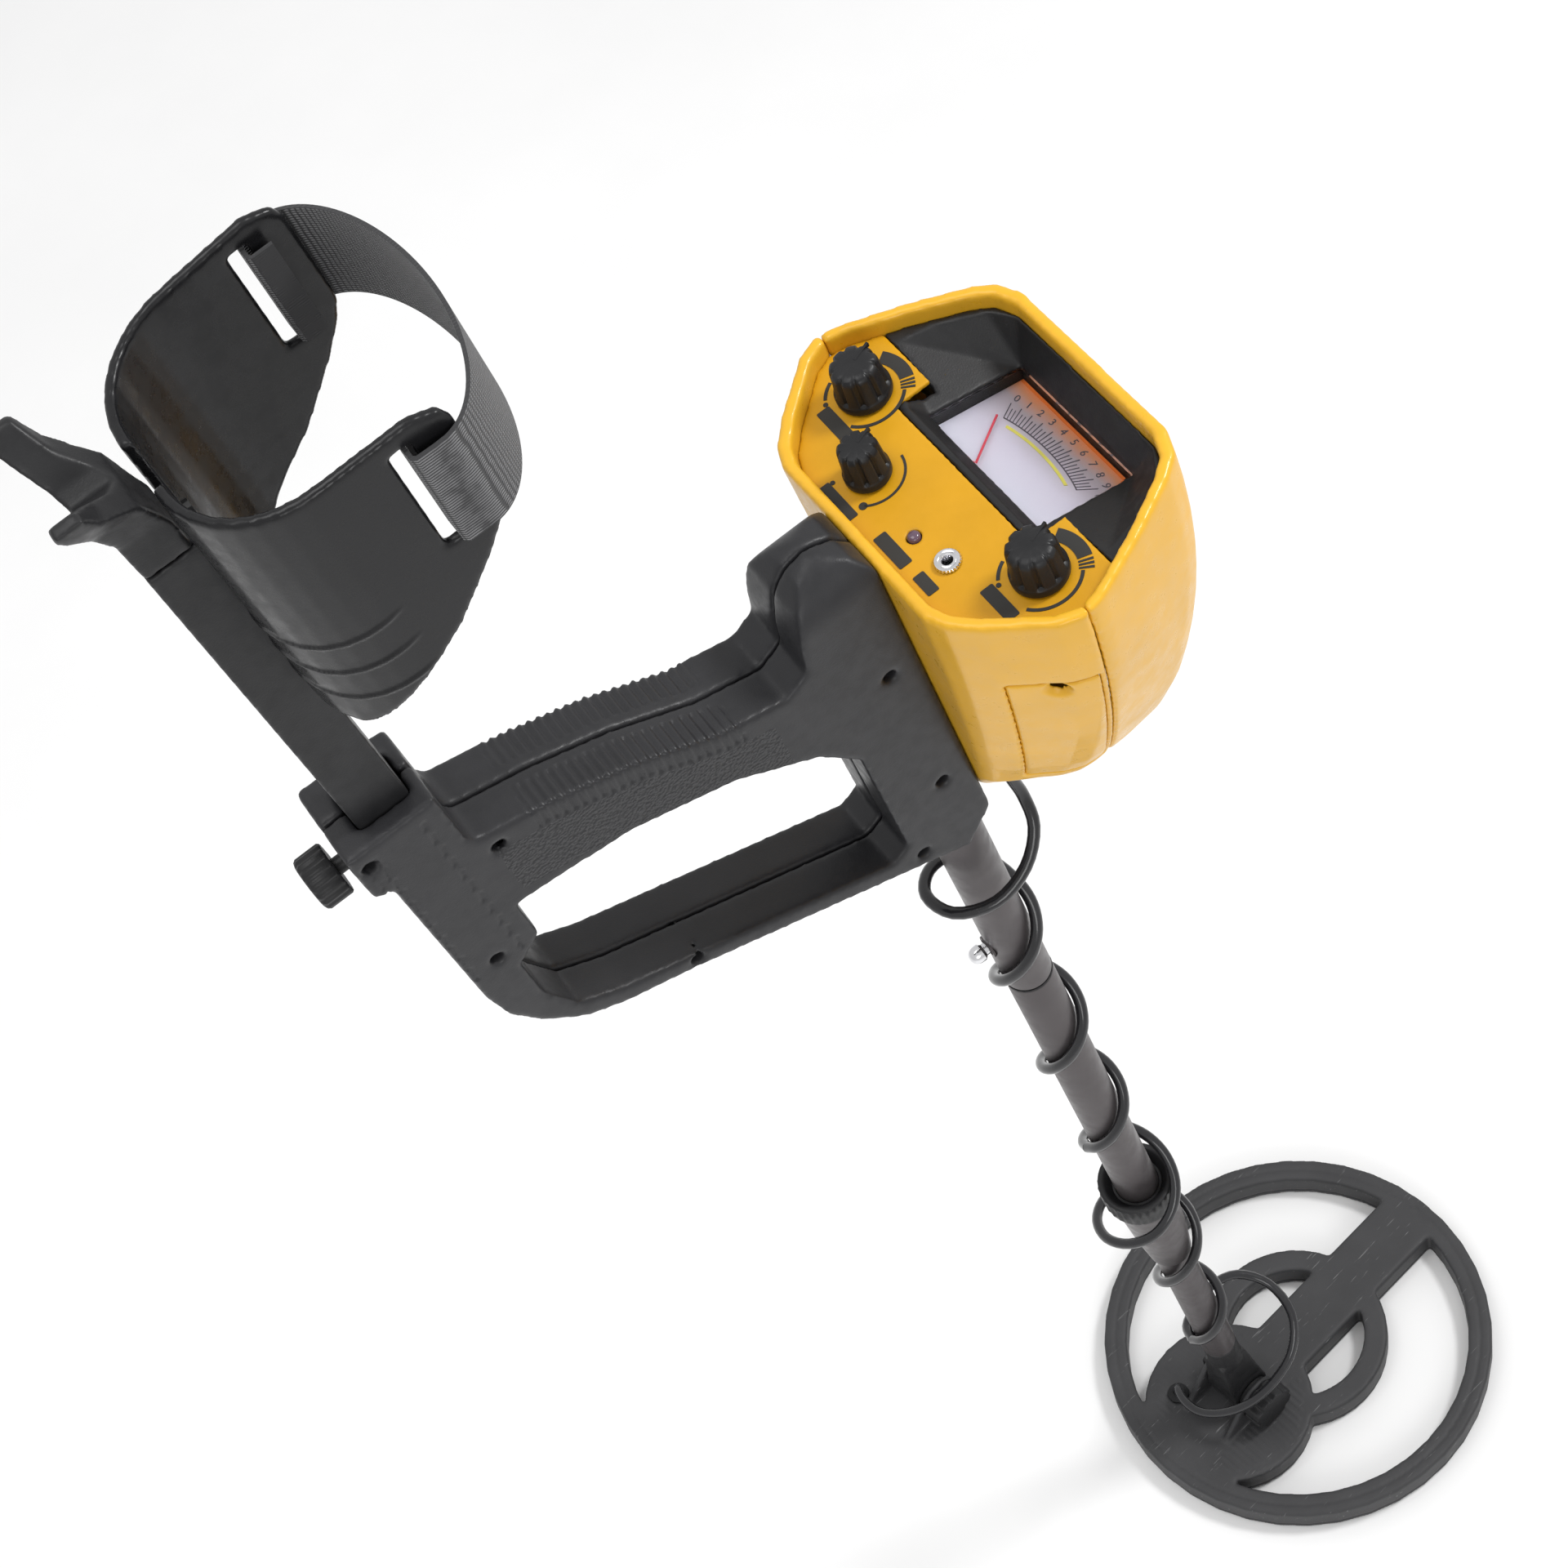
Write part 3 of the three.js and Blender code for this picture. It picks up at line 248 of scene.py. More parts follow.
def woven(name, dark, light):
    """Ribbed nylon webbing: rows of short raised yarns, their tops painted lighter as a painted highlight and
    the gaps between them darker as painted shade.
    """
    material, tree, shader = new_material(name, dark, 0.75, {"Sheen Weight": 0.3})
    where = coordinates(tree, (1, 1, 1), (0, math.radians(6.5), math.radians(10)))
    across = add_node(tree, "ShaderNodeTexWave", {"Scale": 330.0, "Distortion": 0.6, "Detail": 1.0},
                      bands_direction="Z")
    along = add_node(tree, "ShaderNodeTexWave", {"Scale": 260.0, "Distortion": 1.2, "Detail": 1.0},
                     bands_direction="Y")
    for wave in (across, along):
        tree.links.new(where, wave.inputs["Vector"])
    product = add_node(tree, "ShaderNodeMath", operation="MULTIPLY")
    tree.links.new(across.outputs["Fac"], product.inputs[0])
    tree.links.new(along.outputs["Fac"], product.inputs[1])
    # painted highlight and shade: the yarn height lightens the raised yarns and darkens the hollows between
    # them
    tint = ramp(tree, product.outputs["Value"], (0.15, dark), (0.8, light))
    tree.links.new(tint, shader.inputs["Base Color"])
    tree.links.new(bump(tree, product.outputs["Value"], 0.9, 0.0008), shader.inputs["Normal"])
    return material


def polished(name, colour, roughness):
    material, tree, shader = new_material(name, colour, roughness, {"Metallic": 1.0})
    where = coordinates(tree)
    tint = ramp(tree, noise_at(tree, where, 200.0), (0.3, scaled(colour, 0.85)), (0.7, colour))
    tree.links.new(tint, shader.inputs["Base Color"])
    tree.links.new(spread(tree, noise_at(tree, where, 900.0), roughness, roughness + 0.12),
                   shader.inputs["Roughness"])
    return material


def floor_material():
    material, tree, shader = new_material("floor_paint", (0.9, 0.9, 0.9), 0.9)
    drift = noise_at(tree, coordinates(tree), 3.0)
    tint = ramp(tree, drift, (0.3, (0.88, 0.88, 0.88)), (0.7, (0.92, 0.92, 0.92)))
    tree.links.new(tint, shader.inputs["Base Color"])
    return material


def card_material():
    """The meter's card: cool white, with painted shade greying and darkening it and then a painted orange
    glow towards its far edge, under the hood.
    """
    material, tree, shader = new_material("card", (0.8, 0.8, 0.9), 0.55)
    ahead = METER.to_3x3().normalized() @ Vector((1, 0, 0))
    middle = METER @ Vector((0, 0, 0))
    along = add_node(tree, "ShaderNodeVectorMath", operation="DOT_PRODUCT")
    along.inputs[1].default_value = ahead
    tree.links.new(coordinates(tree), along.inputs[0])
    start = middle.dot(ahead)
    place = spread(tree, along.outputs["Value"], 0.0, 1.0, start - 0.02, start + 0.0195)
    mottle = spread(tree, noise_at(tree, coordinates(tree), 60.0), -0.02, 0.02)
    uneven = add_node(tree, "ShaderNodeMath", operation="ADD")
    tree.links.new(place, uneven.inputs[0])
    tree.links.new(mottle, uneven.inputs[1])
    # painted shade: the grey and dark stops darken the card towards the hood; painted light: the orange stops
    # are a painted orange glow at its far edge
    tint = ramp(tree, uneven.outputs["Value"], (0.0, (0.74, 0.74, 0.86)), (0.45, (0.6, 0.57, 0.68)),
                (0.78, (0.42, 0.36, 0.4)), (0.9, (0.62, 0.28, 0.16)), (1.0, (0.85, 0.22, 0.04)))
    tree.links.new(tint, shader.inputs["Base Color"])
    return material


def glass_material():
    material, tree, shader = new_material("clear_window", (1, 1, 1), 0.04,
                                          {"Transmission Weight": 1.0, "IOR": 1.1})
    smudge = noise_at(tree, coordinates(tree), 80.0)
    tree.links.new(spread(tree, smudge, 0.02, 0.1), shader.inputs["Roughness"])
    return material


def make_materials():
    return {
        "handle_grey": moulded("handle_grey", (0.022, 0.022, 0.024), 0.4, grain=1700.0, relief=0.3),
        "handle_leather": leather_grained("handle_leather", (0.02, 0.02, 0.022), 0.45),
        "black_plastic": moulded("black_plastic", (0.014, 0.014, 0.015), 0.42),
        "gloss_black": moulded("gloss_black", (0.009, 0.009, 0.01), 0.28, grain=700.0, relief=0.1),
        "black_webbing": woven("black_webbing", (0.012, 0.012, 0.014), (0.16, 0.16, 0.17)),
        "yellow_plastic": moulded("yellow_plastic", (0.71, 0.385, 0.022), 0.33, variation=0.05, relief=0.12,
                                  values={"Coat Weight": 0.15}),
        "panel_yellow": moulded("panel_yellow", (0.57, 0.285, 0.006), 0.4, variation=0.05, grain=2200.0,
                                relief=0.2),
        "green_board": moulded("green_board", (0.02, 0.09, 0.04), 0.4),
        "black_rubber": moulded("black_rubber", (0.015, 0.015, 0.016), 0.7),
        "clear_window": glass_material(),
        "white_card": card_material(),
        "red_needle": moulded("red_needle", (0.62, 0.05, 0.08), 0.4, relief=0.05),
        "lamp_lens": moulded("lamp_lens", (0.1, 0.06, 0.09), 0.15, relief=0.05, values={"Coat Weight": 0.6}),
        "chrome": polished("chrome", (0.8, 0.8, 0.82), 0.12),
        "spring_steel": polished("spring_steel", (0.45, 0.45, 0.48), 0.3),
        "screw_steel": moulded("screw_steel", (0.03, 0.03, 0.03), 0.4, values={"Metallic": 0.8}),
        "tube_grey": moulded("tube_grey", (0.085, 0.076, 0.078), 0.34, variation=0.08, grain=2600.0,
                             relief=0.2, values={"Metallic": 0.55}),
        "cable_black": moulded("cable_black", (0.016, 0.016, 0.018), 0.2, grain=600.0, relief=0.1,
                               values={"Coat Weight": 0.4}),
        "coil_grey": scratched("coil_grey", (0.038, 0.038, 0.04), 0.55),
        "copper": polished("copper", (0.6, 0.25, 0.1), 0.3),
        "label_black": moulded("label_black", (0.028, 0.027, 0.025), 0.55, relief=0.1),
        # painted orange glow for the meter card's far edge; it is no lamp
        "warm_glow": moulded("warm_glow", (0.75, 0.17, 0.03), 0.6, relief=0.1),
        "scale_grey": moulded("scale_grey", (0.1, 0.09, 0.11), 0.6, relief=0.05),
        "scale_yellow": moulded("scale_yellow", (0.72, 0.66, 0.12), 0.6, relief=0.05),
        "knob_black": moulded("knob_black", (0.012, 0.012, 0.013), 0.38, grain=1100.0, relief=0.2),
    }


# ---- pieces --------------------------------------------------------------------------------
def finish_piece(obj, body, look, replaces=(), sharp=40):
    if look is not None:
        obj.data.materials.clear()
        obj.data.materials.append(LOOKS[look])
    if obj.type == "MESH":
        obj.data.shade_smooth()
        obj.data.set_sharp_from_angle(angle=math.radians(sharp))
    if body:
        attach(obj, body)
    if replaces:
        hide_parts(*replaces)
    return obj


def solid(name, verts, faces, place, body, slot, look=None, replaces=(), sharp=40):
    mesh = bpy.data.meshes.new(name)
    mesh.from_pydata([place @ Vector(v) for v in verts], [], faces)
    shape = bmesh.new()
    shape.from_mesh(mesh)
    bmesh.ops.remove_doubles(shape, verts=shape.verts, dist=1e-7)
    bmesh.ops.recalc_face_normals(shape, faces=shape.faces)
    shape.to_mesh(mesh)
    shape.free()
    obj = link(bpy.data.objects.new(name, mesh))
    return finish_piece(obj, body, look or slot, replaces, sharp)


def turned(profile, segments=64, radius_at=None):
    """A body turned about Z from [radius, height] points, in a closed loop or from axis to axis."""
    verts = []
    faces = []
    closed_loop = profile[0] == profile[-1]
    rows = profile[:-1] if closed_loop else profile
    for radius, height in rows:
        for k in range(segments):
            angle = k / segments * math.tau
            r = radius_at(angle, radius, height) if radius_at else radius
            verts.append((r * math.cos(angle), r * math.sin(angle), height))
    count = len(rows)
    for row in range(count if closed_loop else count - 1):
        following = (row + 1) % count
        for k in range(segments):
            after = (k + 1) % segments
            faces.append((row * segments + k, row * segments + after,
                          following * segments + after, following * segments + k))
    if not closed_loop:
        faces.append(tuple(range(segments)))
        faces.append(tuple((count - 1) * segments + k for k in range(segments)))
    return verts, faces


def slab(outline, z0, z1):
    """A plan outline of (x, y) points carried from z0 to z1."""
    count = len(outline)
    verts = [(x, y, z) for z in (z0, z1) for x, y in outline]
    faces = [tuple(range(count)), tuple(range(count, 2 * count))]
    for k in range(count):
        after = (k + 1) % count
        faces.append((k, after, count + after, count + k))
    return verts, faces


def moved(shape, matrix):
    verts, faces = shape
    return [matrix @ Vector(v) for v in verts], faces


def gathered(*shapes):
    verts = []
    faces = []
    for more_verts, more_faces in shapes:
        start = len(verts)
        verts.extend(more_verts)
        faces.extend(tuple(start + i for i in face) for face in more_faces)
    return verts, faces


def smooth_route(points, per_segment=4):
    """Centripetal Catmull-Rom through the points."""
    points = [Vector(p) for p in points]
    ends = [points[0] * 2 - points[1], *points, points[-1] * 2 - points[-2]]
    route = []
    for a, b, c, d in zip(ends, ends[1:], ends[2:], ends[3:]):
        t1 = max((b - a).length, 1e-6) ** 0.5
        t2 = t1 + max((c - b).length, 1e-6) ** 0.5
        t3 = t2 + max((d - c).length, 1e-6) ** 0.5
        for step in range(per_segment):
            t = t1 + (t2 - t1) * step / per_segment
            first = a * ((t1 - t) / t1) + b * (t / t1)
            second = b * ((t2 - t) / (t2 - t1)) + c * ((t - t1) / (t2 - t1))
            third = c * ((t3 - t) / (t3 - t2)) + d * ((t - t2) / (t3 - t2))
            left = first * ((t2 - t) / t2) + second * (t / t2)
            right = second * ((t3 - t) / (t3 - t1)) + third * ((t - t1) / (t3 - t1))
            route.append(left * ((t2 - t) / (t2 - t1)) + right * ((t - t1) / (t2 - t1)))
    route.append(points[-1])
    return route


def tube_along(route, radius, sides=16):
    verts = []
    faces = []
    side = None
    for i, point in enumerate(route):
        ahead = (route[min(i + 1, len(route) - 1)] - route[max(i - 1, 0)]).normalized()
        side = (ahead.orthogonal() if side is None else side - ahead * side.dot(ahead)).normalized()
        other = ahead.cross(side)
        for k in range(sides):
            angle = k / sides * math.tau
            verts.append(point + (side * math.cos(angle) + other * math.sin(angle)) * radius)
    for i in range(len(route) - 1):
        for k in range(sides):
            after = (k + 1) % sides
            faces.append((i * sides + k, i * sides + after, (i + 1) * sides + after, (i + 1) * sides + k))
    faces.append(tuple(range(sides)))
    faces.append(tuple((len(route) - 1) * sides + k for k in range(sides)))
    return verts, faces


def relieve(mesh, shape, place):
    """Moves each vertex along its normal by what shape() gives for its point, in millimetres."""
    count = len(mesh.vertices)
    points = np.empty(count * 3, np.float32)
    normals = np.empty(count * 3, np.float32)
    mesh.vertices.foreach_get("co", points)
    mesh.vertex_normals.foreach_get("vector", normals)
    points = points.reshape(-1, 3)
    normals = normals.reshape(-1, 3)
    back = np.array(place.inverted())
    local = points @ back[:3, :3].T + back[:3, 3]
    facing = normals @ (back[:3, :3].T * 0.001)
    moves = np.array([shape(point, normal) for point, normal in zip(local.tolist(), facing.tolist())])
    points += normals * (moves[:, None] * 0.001)
    mesh.vertices.foreach_set("co", points.reshape(-1))
    mesh.update()


def rounded_copy(name, node, voxel, passes, body, slot, look=None, shape=None, place=HANDLE, swell=0.0):
    """The CAD node's shape with moulded, rounded edges, and any relief that shape() gives.
    swell, in millimetres, makes up for what the smoothing takes off."""
    obj = link(bpy.data.objects.new(name, NODES[node].data.copy()))
    remesh = obj.modifiers.new("remesh", "REMESH")
    remesh.mode = "VOXEL"
    remesh.voxel_size = voxel * 0.001
    smooth = obj.modifiers.new("smooth", "SMOOTH")
    smooth.factor = 0.5
    smooth.iterations = passes
    depsgraph = bpy.context.evaluated_depsgraph_get()
    mesh = bpy.data.meshes.new_from_object(obj.evaluated_get(depsgraph))
    obj.modifiers.clear()
    obj.data = mesh
    if shape or swell:
        relieve(mesh, lambda point, normal: swell + (shape(point, normal) if shape else 0), place)
    return finish_piece(obj, body, look or slot, (node,), sharp=180)


# ---- cable ---------------------------------------------------------------------------------
def winding_radius(z):
    """Distance of the cable's centre from the shaft's axis: close on the tubes, wide round the lock."""
    close = TUBE_R + CABLE_R + 0.5 if z > LOCK_Z else LOWER_TUBE_R + CABLE_R + 0.7
    return close + 13.5 * math.exp(-((z - 268) / 30) ** 2) + 4.2 * math.exp(-((z - 228) / 26) ** 2)


def winding(first_turn, last_turn):
    points = []
    for i in range(round(first_turn * 12), round(last_turn * 12) + 1):
        turns = i / 12
        z = 568.5 - turns * HELIX_PITCH
        radius = winding_radius(z)
        points.append(Vector((radius * math.cos(turns * math.tau), -radius * math.sin(turns * math.tau), z)))
    return points


def cable_piece(name, node, points):
    route = [SHAFT @ p for p in smooth_route(points)]
    verts, faces = tube_along(route, CABLE_R * 0.001)
    obj = solid(name, verts, faces, Matrix.Identity(4), None, "cable_black", replaces=(node,))
    length = sum((b - a).length for a, b in zip(route, route[1:]))
    return obj, route, length


def make_cable():
    exit_points = [TWIST @ Vector((26, -5, z)) for z in (668, 660, 648)]
    lead = [Vector(p) for p in (
        (25, -12, 636), (21, -18, 625), (9, -22, 615), (-7, -20, 609), (-20, -9, 607), (-21, 5, 606),
        (-12, 14, 602), (2, 15.5, 594), (10.5, 9.5, 582))]
    lower = winding(2.5, 5.5)
    second = Vector((-8, 9.5, 84))
    loop = [lower[-1], second]
    loop += [Vector(p) for p in (
        (4, 15, 79), (18, 18.5, 73), (33, 15, 65), (41, 2, 57), (38, -15, 49), (25, -25, 39), (8, -26, 29),
        (-9, -21, 20), (-21, -11, 12), (-28, 2, 5), (-28, 14, 1))]
    loop += [LEAN.inverted() @ Vector((-24, 23, z)) for z in (-7, -12, -20)]
    pieces = {
        "coil_cable_top": ("cable_upper", [*exit_points, *lead, *winding(0, 2.5)]),
        "coil_cable_middle": ("cable_lower", lower),
        "coil_cable_end": ("cable_loop", loop),
    }
    for name, (node, points) in pieces.items():
        obj, route, length = cable_piece(name, node, points)
        if node == "cable_upper":
            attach(obj, "handle_frame")
        elif node == "cable_lower":
            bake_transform(obj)
        else:
            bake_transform(obj)
    collar = turned([(2.7, -9), (4.2, -9), (4.4, -2), (5.0, -1), (5.0, 1), (4.1, 2), (4.3, 3), (5.7, 3.4),
                     (5.7, 5), (2.7, 5), (2.7, -9)], 40)
    verts, faces = moved(collar, Matrix.Translation((26, -5, 670)))
    solid("cable_strain_relief", verts, faces, HANDLE, "handle_frame", "black_rubber",
          replaces=("cable_gland",))
    boot = turned([(2.7, -4.5), (4.2, -4.5), (4.2, 0.4), (5.6, 0.5), (5.6, 1.4), (4.6, 2.2), (3.6, 3.6),
                   (2.7, 3.6),
                   (2.7, -4.5)], 40)
    verts, faces = moved(boot, Matrix.Translation((-24, 23, -15)))
    solid("cable_boot", verts, faces, COIL, "coil", "black_rubber", replaces=("coil_grommet",))


# ---- shaft ---------------------------------------------------------------------------------
def hollow(outer, inner, z0, z1, ease=0.6):
    return turned([(inner, z0), (outer - ease, z0), (outer, z0 + ease), (outer, z1 - ease),
                   (outer - ease, z1),
                   (inner, z1), (inner, z0)], 72)


def make_shaft():
    # close-fitting skins, rounder than the drilled tubes under them
    upper = hollow(10.2, 9.55, 514.5, 790)
    solid("upper_tube_skin", *upper, HANDLE, "handle_frame", "tube_grey", replaces=("upper_tube",))
    middle = turned([(9.5, 278), (10.2, 278), (10.2, 511.6), (9.9, 512.7), (9.2, 512.8), (9.2, 575),
                     (8.5, 575),
                     (8.5, 511), (9.5, 510), (9.5, 278)], 72)
    solid("middle_tube_skin", *middle, HANDLE, "handle_frame", "tube_grey", replaces=("middle_tube",))
    lower = hollow(LOWER_TUBE_R, 8.2, 62, 430)
    solid("lower_tube_skin", *lower, SHAFT, "lower_shaft", "tube_grey", replaces=("lower_tube",))
    button = turned([(0.01, 0), (2.6, 0), (2.6, 6.0), (3.0, 6.4), (3.7, 7.2), (3.7, 9.0), (3.5, 10.2),
                     (3.0, 11.3),
                     (2.1, 12.2), (1.1, 12.6), (0.01, 12.7)], 40)
    place = Matrix.Translation((-6.2, 0, 548)) @ Matrix.Rotation(math.radians(-90), 4, "Y")
    verts, faces = moved(button, place)
    solid("button_ball", verts, faces, HANDLE, "snap_button", "chrome", replaces=("snap_button",))
    rim = turned([(3.8, -0.4), (5.0, -0.4), (5.0, 0.35), (4.6, 0.6), (3.8, 0.5), (3.8, -0.4)], 40)
    in_the_tube = Matrix.Translation((-10.0, 0, 548)) @ Matrix.Rotation(math.radians(-90), 4, "Y")
    verts, faces = moved(rim, in_the_tube)
    solid("button_hole_rim", verts, faces, HANDLE, "handle_frame", "tube_grey")

    def knurl(angle, radius, height):
        return radius + (0.28 * math.cos(angle * 30) if radius > 17.4 and 275.5 < height < 287.5 else 0)

    collar = turned([(9.5, 274), (16.8, 274), (17.6, 274.6), (17.8, 276), (17.8, 287), (17.6, 288.4),
                     (16.8, 289), (15.2, 289), (14.4, 288.4), (11.6, 284), (10.5, 284), (10.5, 277.8),
                     (9.5, 277.8), (9.5, 274)],
                    180, knurl)
    solid("lock_ring", *collar, SHAFT, "handle_frame", "black_plastic", replaces=("lock_collar",))
    nut = turned([(12.3, 224), (9.7, 210), (9.7, 200), (10.2, 200), (10.6, 200.8), (12.4, 222), (13.4, 240),
                  (14.5, 264), (14.6, 266), (14.6, 272.8), (14.2, 273.6), (12.3, 273.6), (12.3, 224)], 72)
    solid("lock_sleeve", *nut, SHAFT, "lock_nut", "tube_grey", replaces=("lock_nut",))
    rounded_copy("yoke_fork", "yoke_stem", 0.8, 6, "lower_shaft", "black_plastic")


# ---- coil ----------------------------------------------------------------------------------
def coil_relief(point, normal):
    """Shallow ridges on the disc behind the hinge and a fine groove along the ring's middle."""
    x, y, z = point
    if normal[2] < 0.7 or z < -18:
        return 0
    around = math.hypot(x - 45, y)
    lift = 0.0
    if abs(around - 98.7) < 0.9:
        lift -= 0.35
    if math.hypot(x + 9, y) < 40 and abs(y) > 19 and math.sin(x * 1.6) > 0.75:
        lift += 0.3
    return lift


def make_coil():
    rounded_copy("coil_top", "coil_housing", 0.9, 9, "coil", "coil_grey", shape=coil_relief, place=COIL)
    rounded_copy("coil_bottom", "coil_base_cover", 0.9, 4, "coil", "coil_grey")
    rounded_copy("tilt_knob", "hinge_knob", 0.45, 5, "hinge_knob", "black_plastic")
    rounded_copy("hinge_bolt_head", "hinge_bolt", 0.4, 3, "coil", "black_plastic")


# ---- handle --------------------------------------------------------------------------------
def rib_height(x):
    """Top of the grip along the handle."""
    stops = ((-142, 832), (-115, 825), (-87, 814), (-58, 798), (-34, 791))
    for (x0, z0), (x1, z1) in zip(stops, stops[1:]):
        if x <= x1:
            return z0 + (z1 - z0) * (x - x0) / (x1 - x0)
    return stops[-1][1]


def handle_relief(point, normal):
    """Ribs along the grip's upper edge and long shallow grooves on the rear block."""
    x, y, z = point
    lift = 0.0
    under_top = rib_height(x) - z
    if -122 < x < -52 and -1 < under_top < 9 and abs(y) > 5:
        lift += 0.45 * math.sin(x * math.tau / 3.2) - 0.2
    if -174 < x < -146 and 770 < z < 856 and abs(y) > 15.5:
        for groove in (-171.5, -168.0, -150.0):
            if abs(x - groove) < 0.7:
                lift -= 0.5
    return lift


def make_handle():
    for side in ("right", "left"):
        obj = rounded_copy(f"handle_half_{side}", f"handle_shell_{side}", 0.9, 22, "handle_frame",
                           "handle_grey", shape=handle_relief)
        obj.data.materials.append(LOOKS["handle_leather"])
        back = HANDLE.inverted()
        for polygon in obj.data.polygons:
            x, y, z = back @ polygon.center
            under_top = rib_height(x) - z
            if -138 < x < -42 and 10 < under_top < 34 and abs(y) > 14:
                polygon.material_index = 1


# ---- arm rest ------------------------------------------------------------------------------
def cuff_relief(point, normal):
    """Three curved ridges low on the cuff's outside."""
    x, y, z = point
    across = math.copysign(max(abs(y) - 12, 0), y)
    reach = math.hypot(x + 115, across)
    outward = (normal[0] * (x + 115) + normal[1] * across) / max(reach, 1)
    if outward < 0.6 or x > -116:
        return 0.0
    turn = math.atan2(abs(across), -(x + 115))
    fade = min(1.0, (-116 - x) / 8) * min(1.0, max(0.0, (abs(y) - 10) / 4))
    lift = 0.0
    for base in (944, 957, 970):
        bend = base + 9 * (1 - math.cos((turn - 0.5) * 1.3))
        if abs(z - bend) < 1.0:
            lift += 0.7 * math.cos((z - bend) * math.pi / 2)
    return lift * fade


def make_arm_rest():
    rounded_copy("cuff", "arm_cuff", 0.7, 22, "arm_rest", "gloss_black", shape=cuff_relief,
                 swell=0.2)
    rounded_copy("stem_bar", "arm_stem", 0.8, 8, "arm_rest", "black_plastic")
    rounded_copy("foot_prongs", "rear_foot", 0.7, 20, "arm_rest", "black_plastic")

    def flutes(angle, radius, height):
        return radius - (0.55 * (0.5 + 0.5 * math.cos(angle * 18)) if radius > 8.5 else 0)

    head = turned([(0.01, -179.7), (8.9, -179.7), (9.5, -180.4), (9.5, -188.6), (8.8, -189.6), (7.6, -190),
                   (6.4, -189.4),
                   (0.01, -189.2)], 144, flutes)
    shank = turned([(0.01, -180.5), (3, -180.5), (3, -167), (2.4, -166.8), (0.01, -166.8)], 32)
    turn = Matrix.Translation((0, 0, 842)) @ Matrix.Rotation(math.radians(90), 4, "Y")
    verts, faces = gathered(moved(head, turn), moved(shank, turn))
    solid("clamp_screw", verts, faces, HANDLE, "clamp_knob", "black_plastic", replaces=("stem_clamp_knob",))
    make_strap()


def strap_line(offset):
    x = CUFF_SLOT_X
    t = offset
    right = [(x + 8, -42.4 + t), (x + 1.5 - 0.36 * t, -42.4 + t), (x + 1 - t, -43 + 0.43 * t),
             (x + 1 - t, -50.8 - 0.43 * t), (x + 1.6 - 0.43 * t, -51.4 - t), (x + 7, -51.6 - t)]
    arch = []
    for i in range(1, 48):
        angle = -math.pi / 2 + i / 48 * math.pi
        arch.append((x + 9 + (STRAP_RISE + t) * math.cos(angle), (51.6 + t) * math.sin(angle)))
    left = [(px, -py) for px, py in reversed(right)]
    return right + arch + left


def make_strap():
    """Webbing bent over the forearm's place, flat across its width."""
    inner = strap_line(0.05)
    outer = strap_line(1.35)
    levels = 24
    verts = []
    faces = []
    for side in (inner, outer):
        for x, y in side:
            for k in range(levels + 1):
                z = STRAP_BOTTOM + STRAP_WIDTH * k / levels
                verts.append((x, y, z))
    count = len(inner)
    row = levels + 1

    def at(layer, i, k):
        return layer * count * row + i * row + k

    for i in range(count - 1):
        for k in range(levels):
            faces.append((at(0, i, k), at(0, i + 1, k), at(0, i + 1, k + 1), at(0, i, k + 1)))
            faces.append((at(1, i, k), at(1, i, k + 1), at(1, i + 1, k + 1), at(1, i + 1, k)))
        for k in (0, levels):
            faces.append((at(0, i, k), at(1, i, k), at(1, i + 1, k), at(0, i + 1, k)))
    for i in (0, count - 1):
        for k in range(levels):
            faces.append((at(0, i, k), at(0, i, k + 1), at(1, i, k + 1), at(1, i, k)))
    solid("forearm_strap", verts, faces, HANDLE, "arm_rest", "black_webbing", replaces=("arm_strap",))


# ---- control housing -----------------------------------------------------------------------
def make_housing():
    rounded_copy("housing_rear_half", "housing_lower_shell", 0.8, 26, "handle_frame", "yellow_plastic",
                 swell=0.3)
    rounded_copy("housing_front_half", "housing_upper_shell", 0.8, 26, "handle_frame", "yellow_plastic",
                 swell=0.3)
    for side in ("right", "left"):
        rounded_copy(f"battery_cover_{side}", f"battery_door_{side}", 0.6, 14, f"battery_door_{side}",
                     "yellow_plastic", swell=0.15)
    rounded_copy("control_plate", "face_panel", 0.6, 2, "handle_frame", "panel_yellow")
    rounded_copy("meter_surround", "meter_hood", 0.8, 2, "handle_frame", "black_plastic")


def arc_strip(x, y, radius, width, start, end, z, steps=28):
    """A thin printed arc; angles in degrees from +X towards +Y."""
    angles = [math.radians(start + (end - start) * i / steps) for i in range(steps + 1)]
    outer = [(x + (radius + width / 2) * math.cos(a), y + (radius + width / 2) * math.sin(a)) for a in angles]
    inner = [(x + (radius - width / 2) * math.cos(a), y + (radius - width / 2) * math.sin(a)) for a in angles]
    return slab(outer + inner[::-1], z, z + 0.25)


def dot(x, y, radius, z):
    angles = [i / 24 * math.tau for i in range(24)]
    points = [(x + radius * math.cos(a), y + radius * math.sin(a)) for a in angles]
    return slab(points, z, z + 0.25)


def plate(x, y, length, width, angle, z):
    """A blank label with eased corners; length runs along angle."""
    turn = Matrix.Rotation(math.radians(angle), 2)
    corners = []
    r = 0.6
    for sx, sy, start in ((1, 1, 0), (-1, 1, 90), (-1, -1, 180), (1, -1, 270)):
        for step in range(4):
            a = math.radians(start + step * 30)
            p = turn @ Vector((sx * (length / 2 - r) + r * math.cos(a),
                               sy * (width / 2 - r) + r * math.sin(a)))
            corners.append((x + p.x, y + p.y))
    return slab(corners, z, z + 0.25)


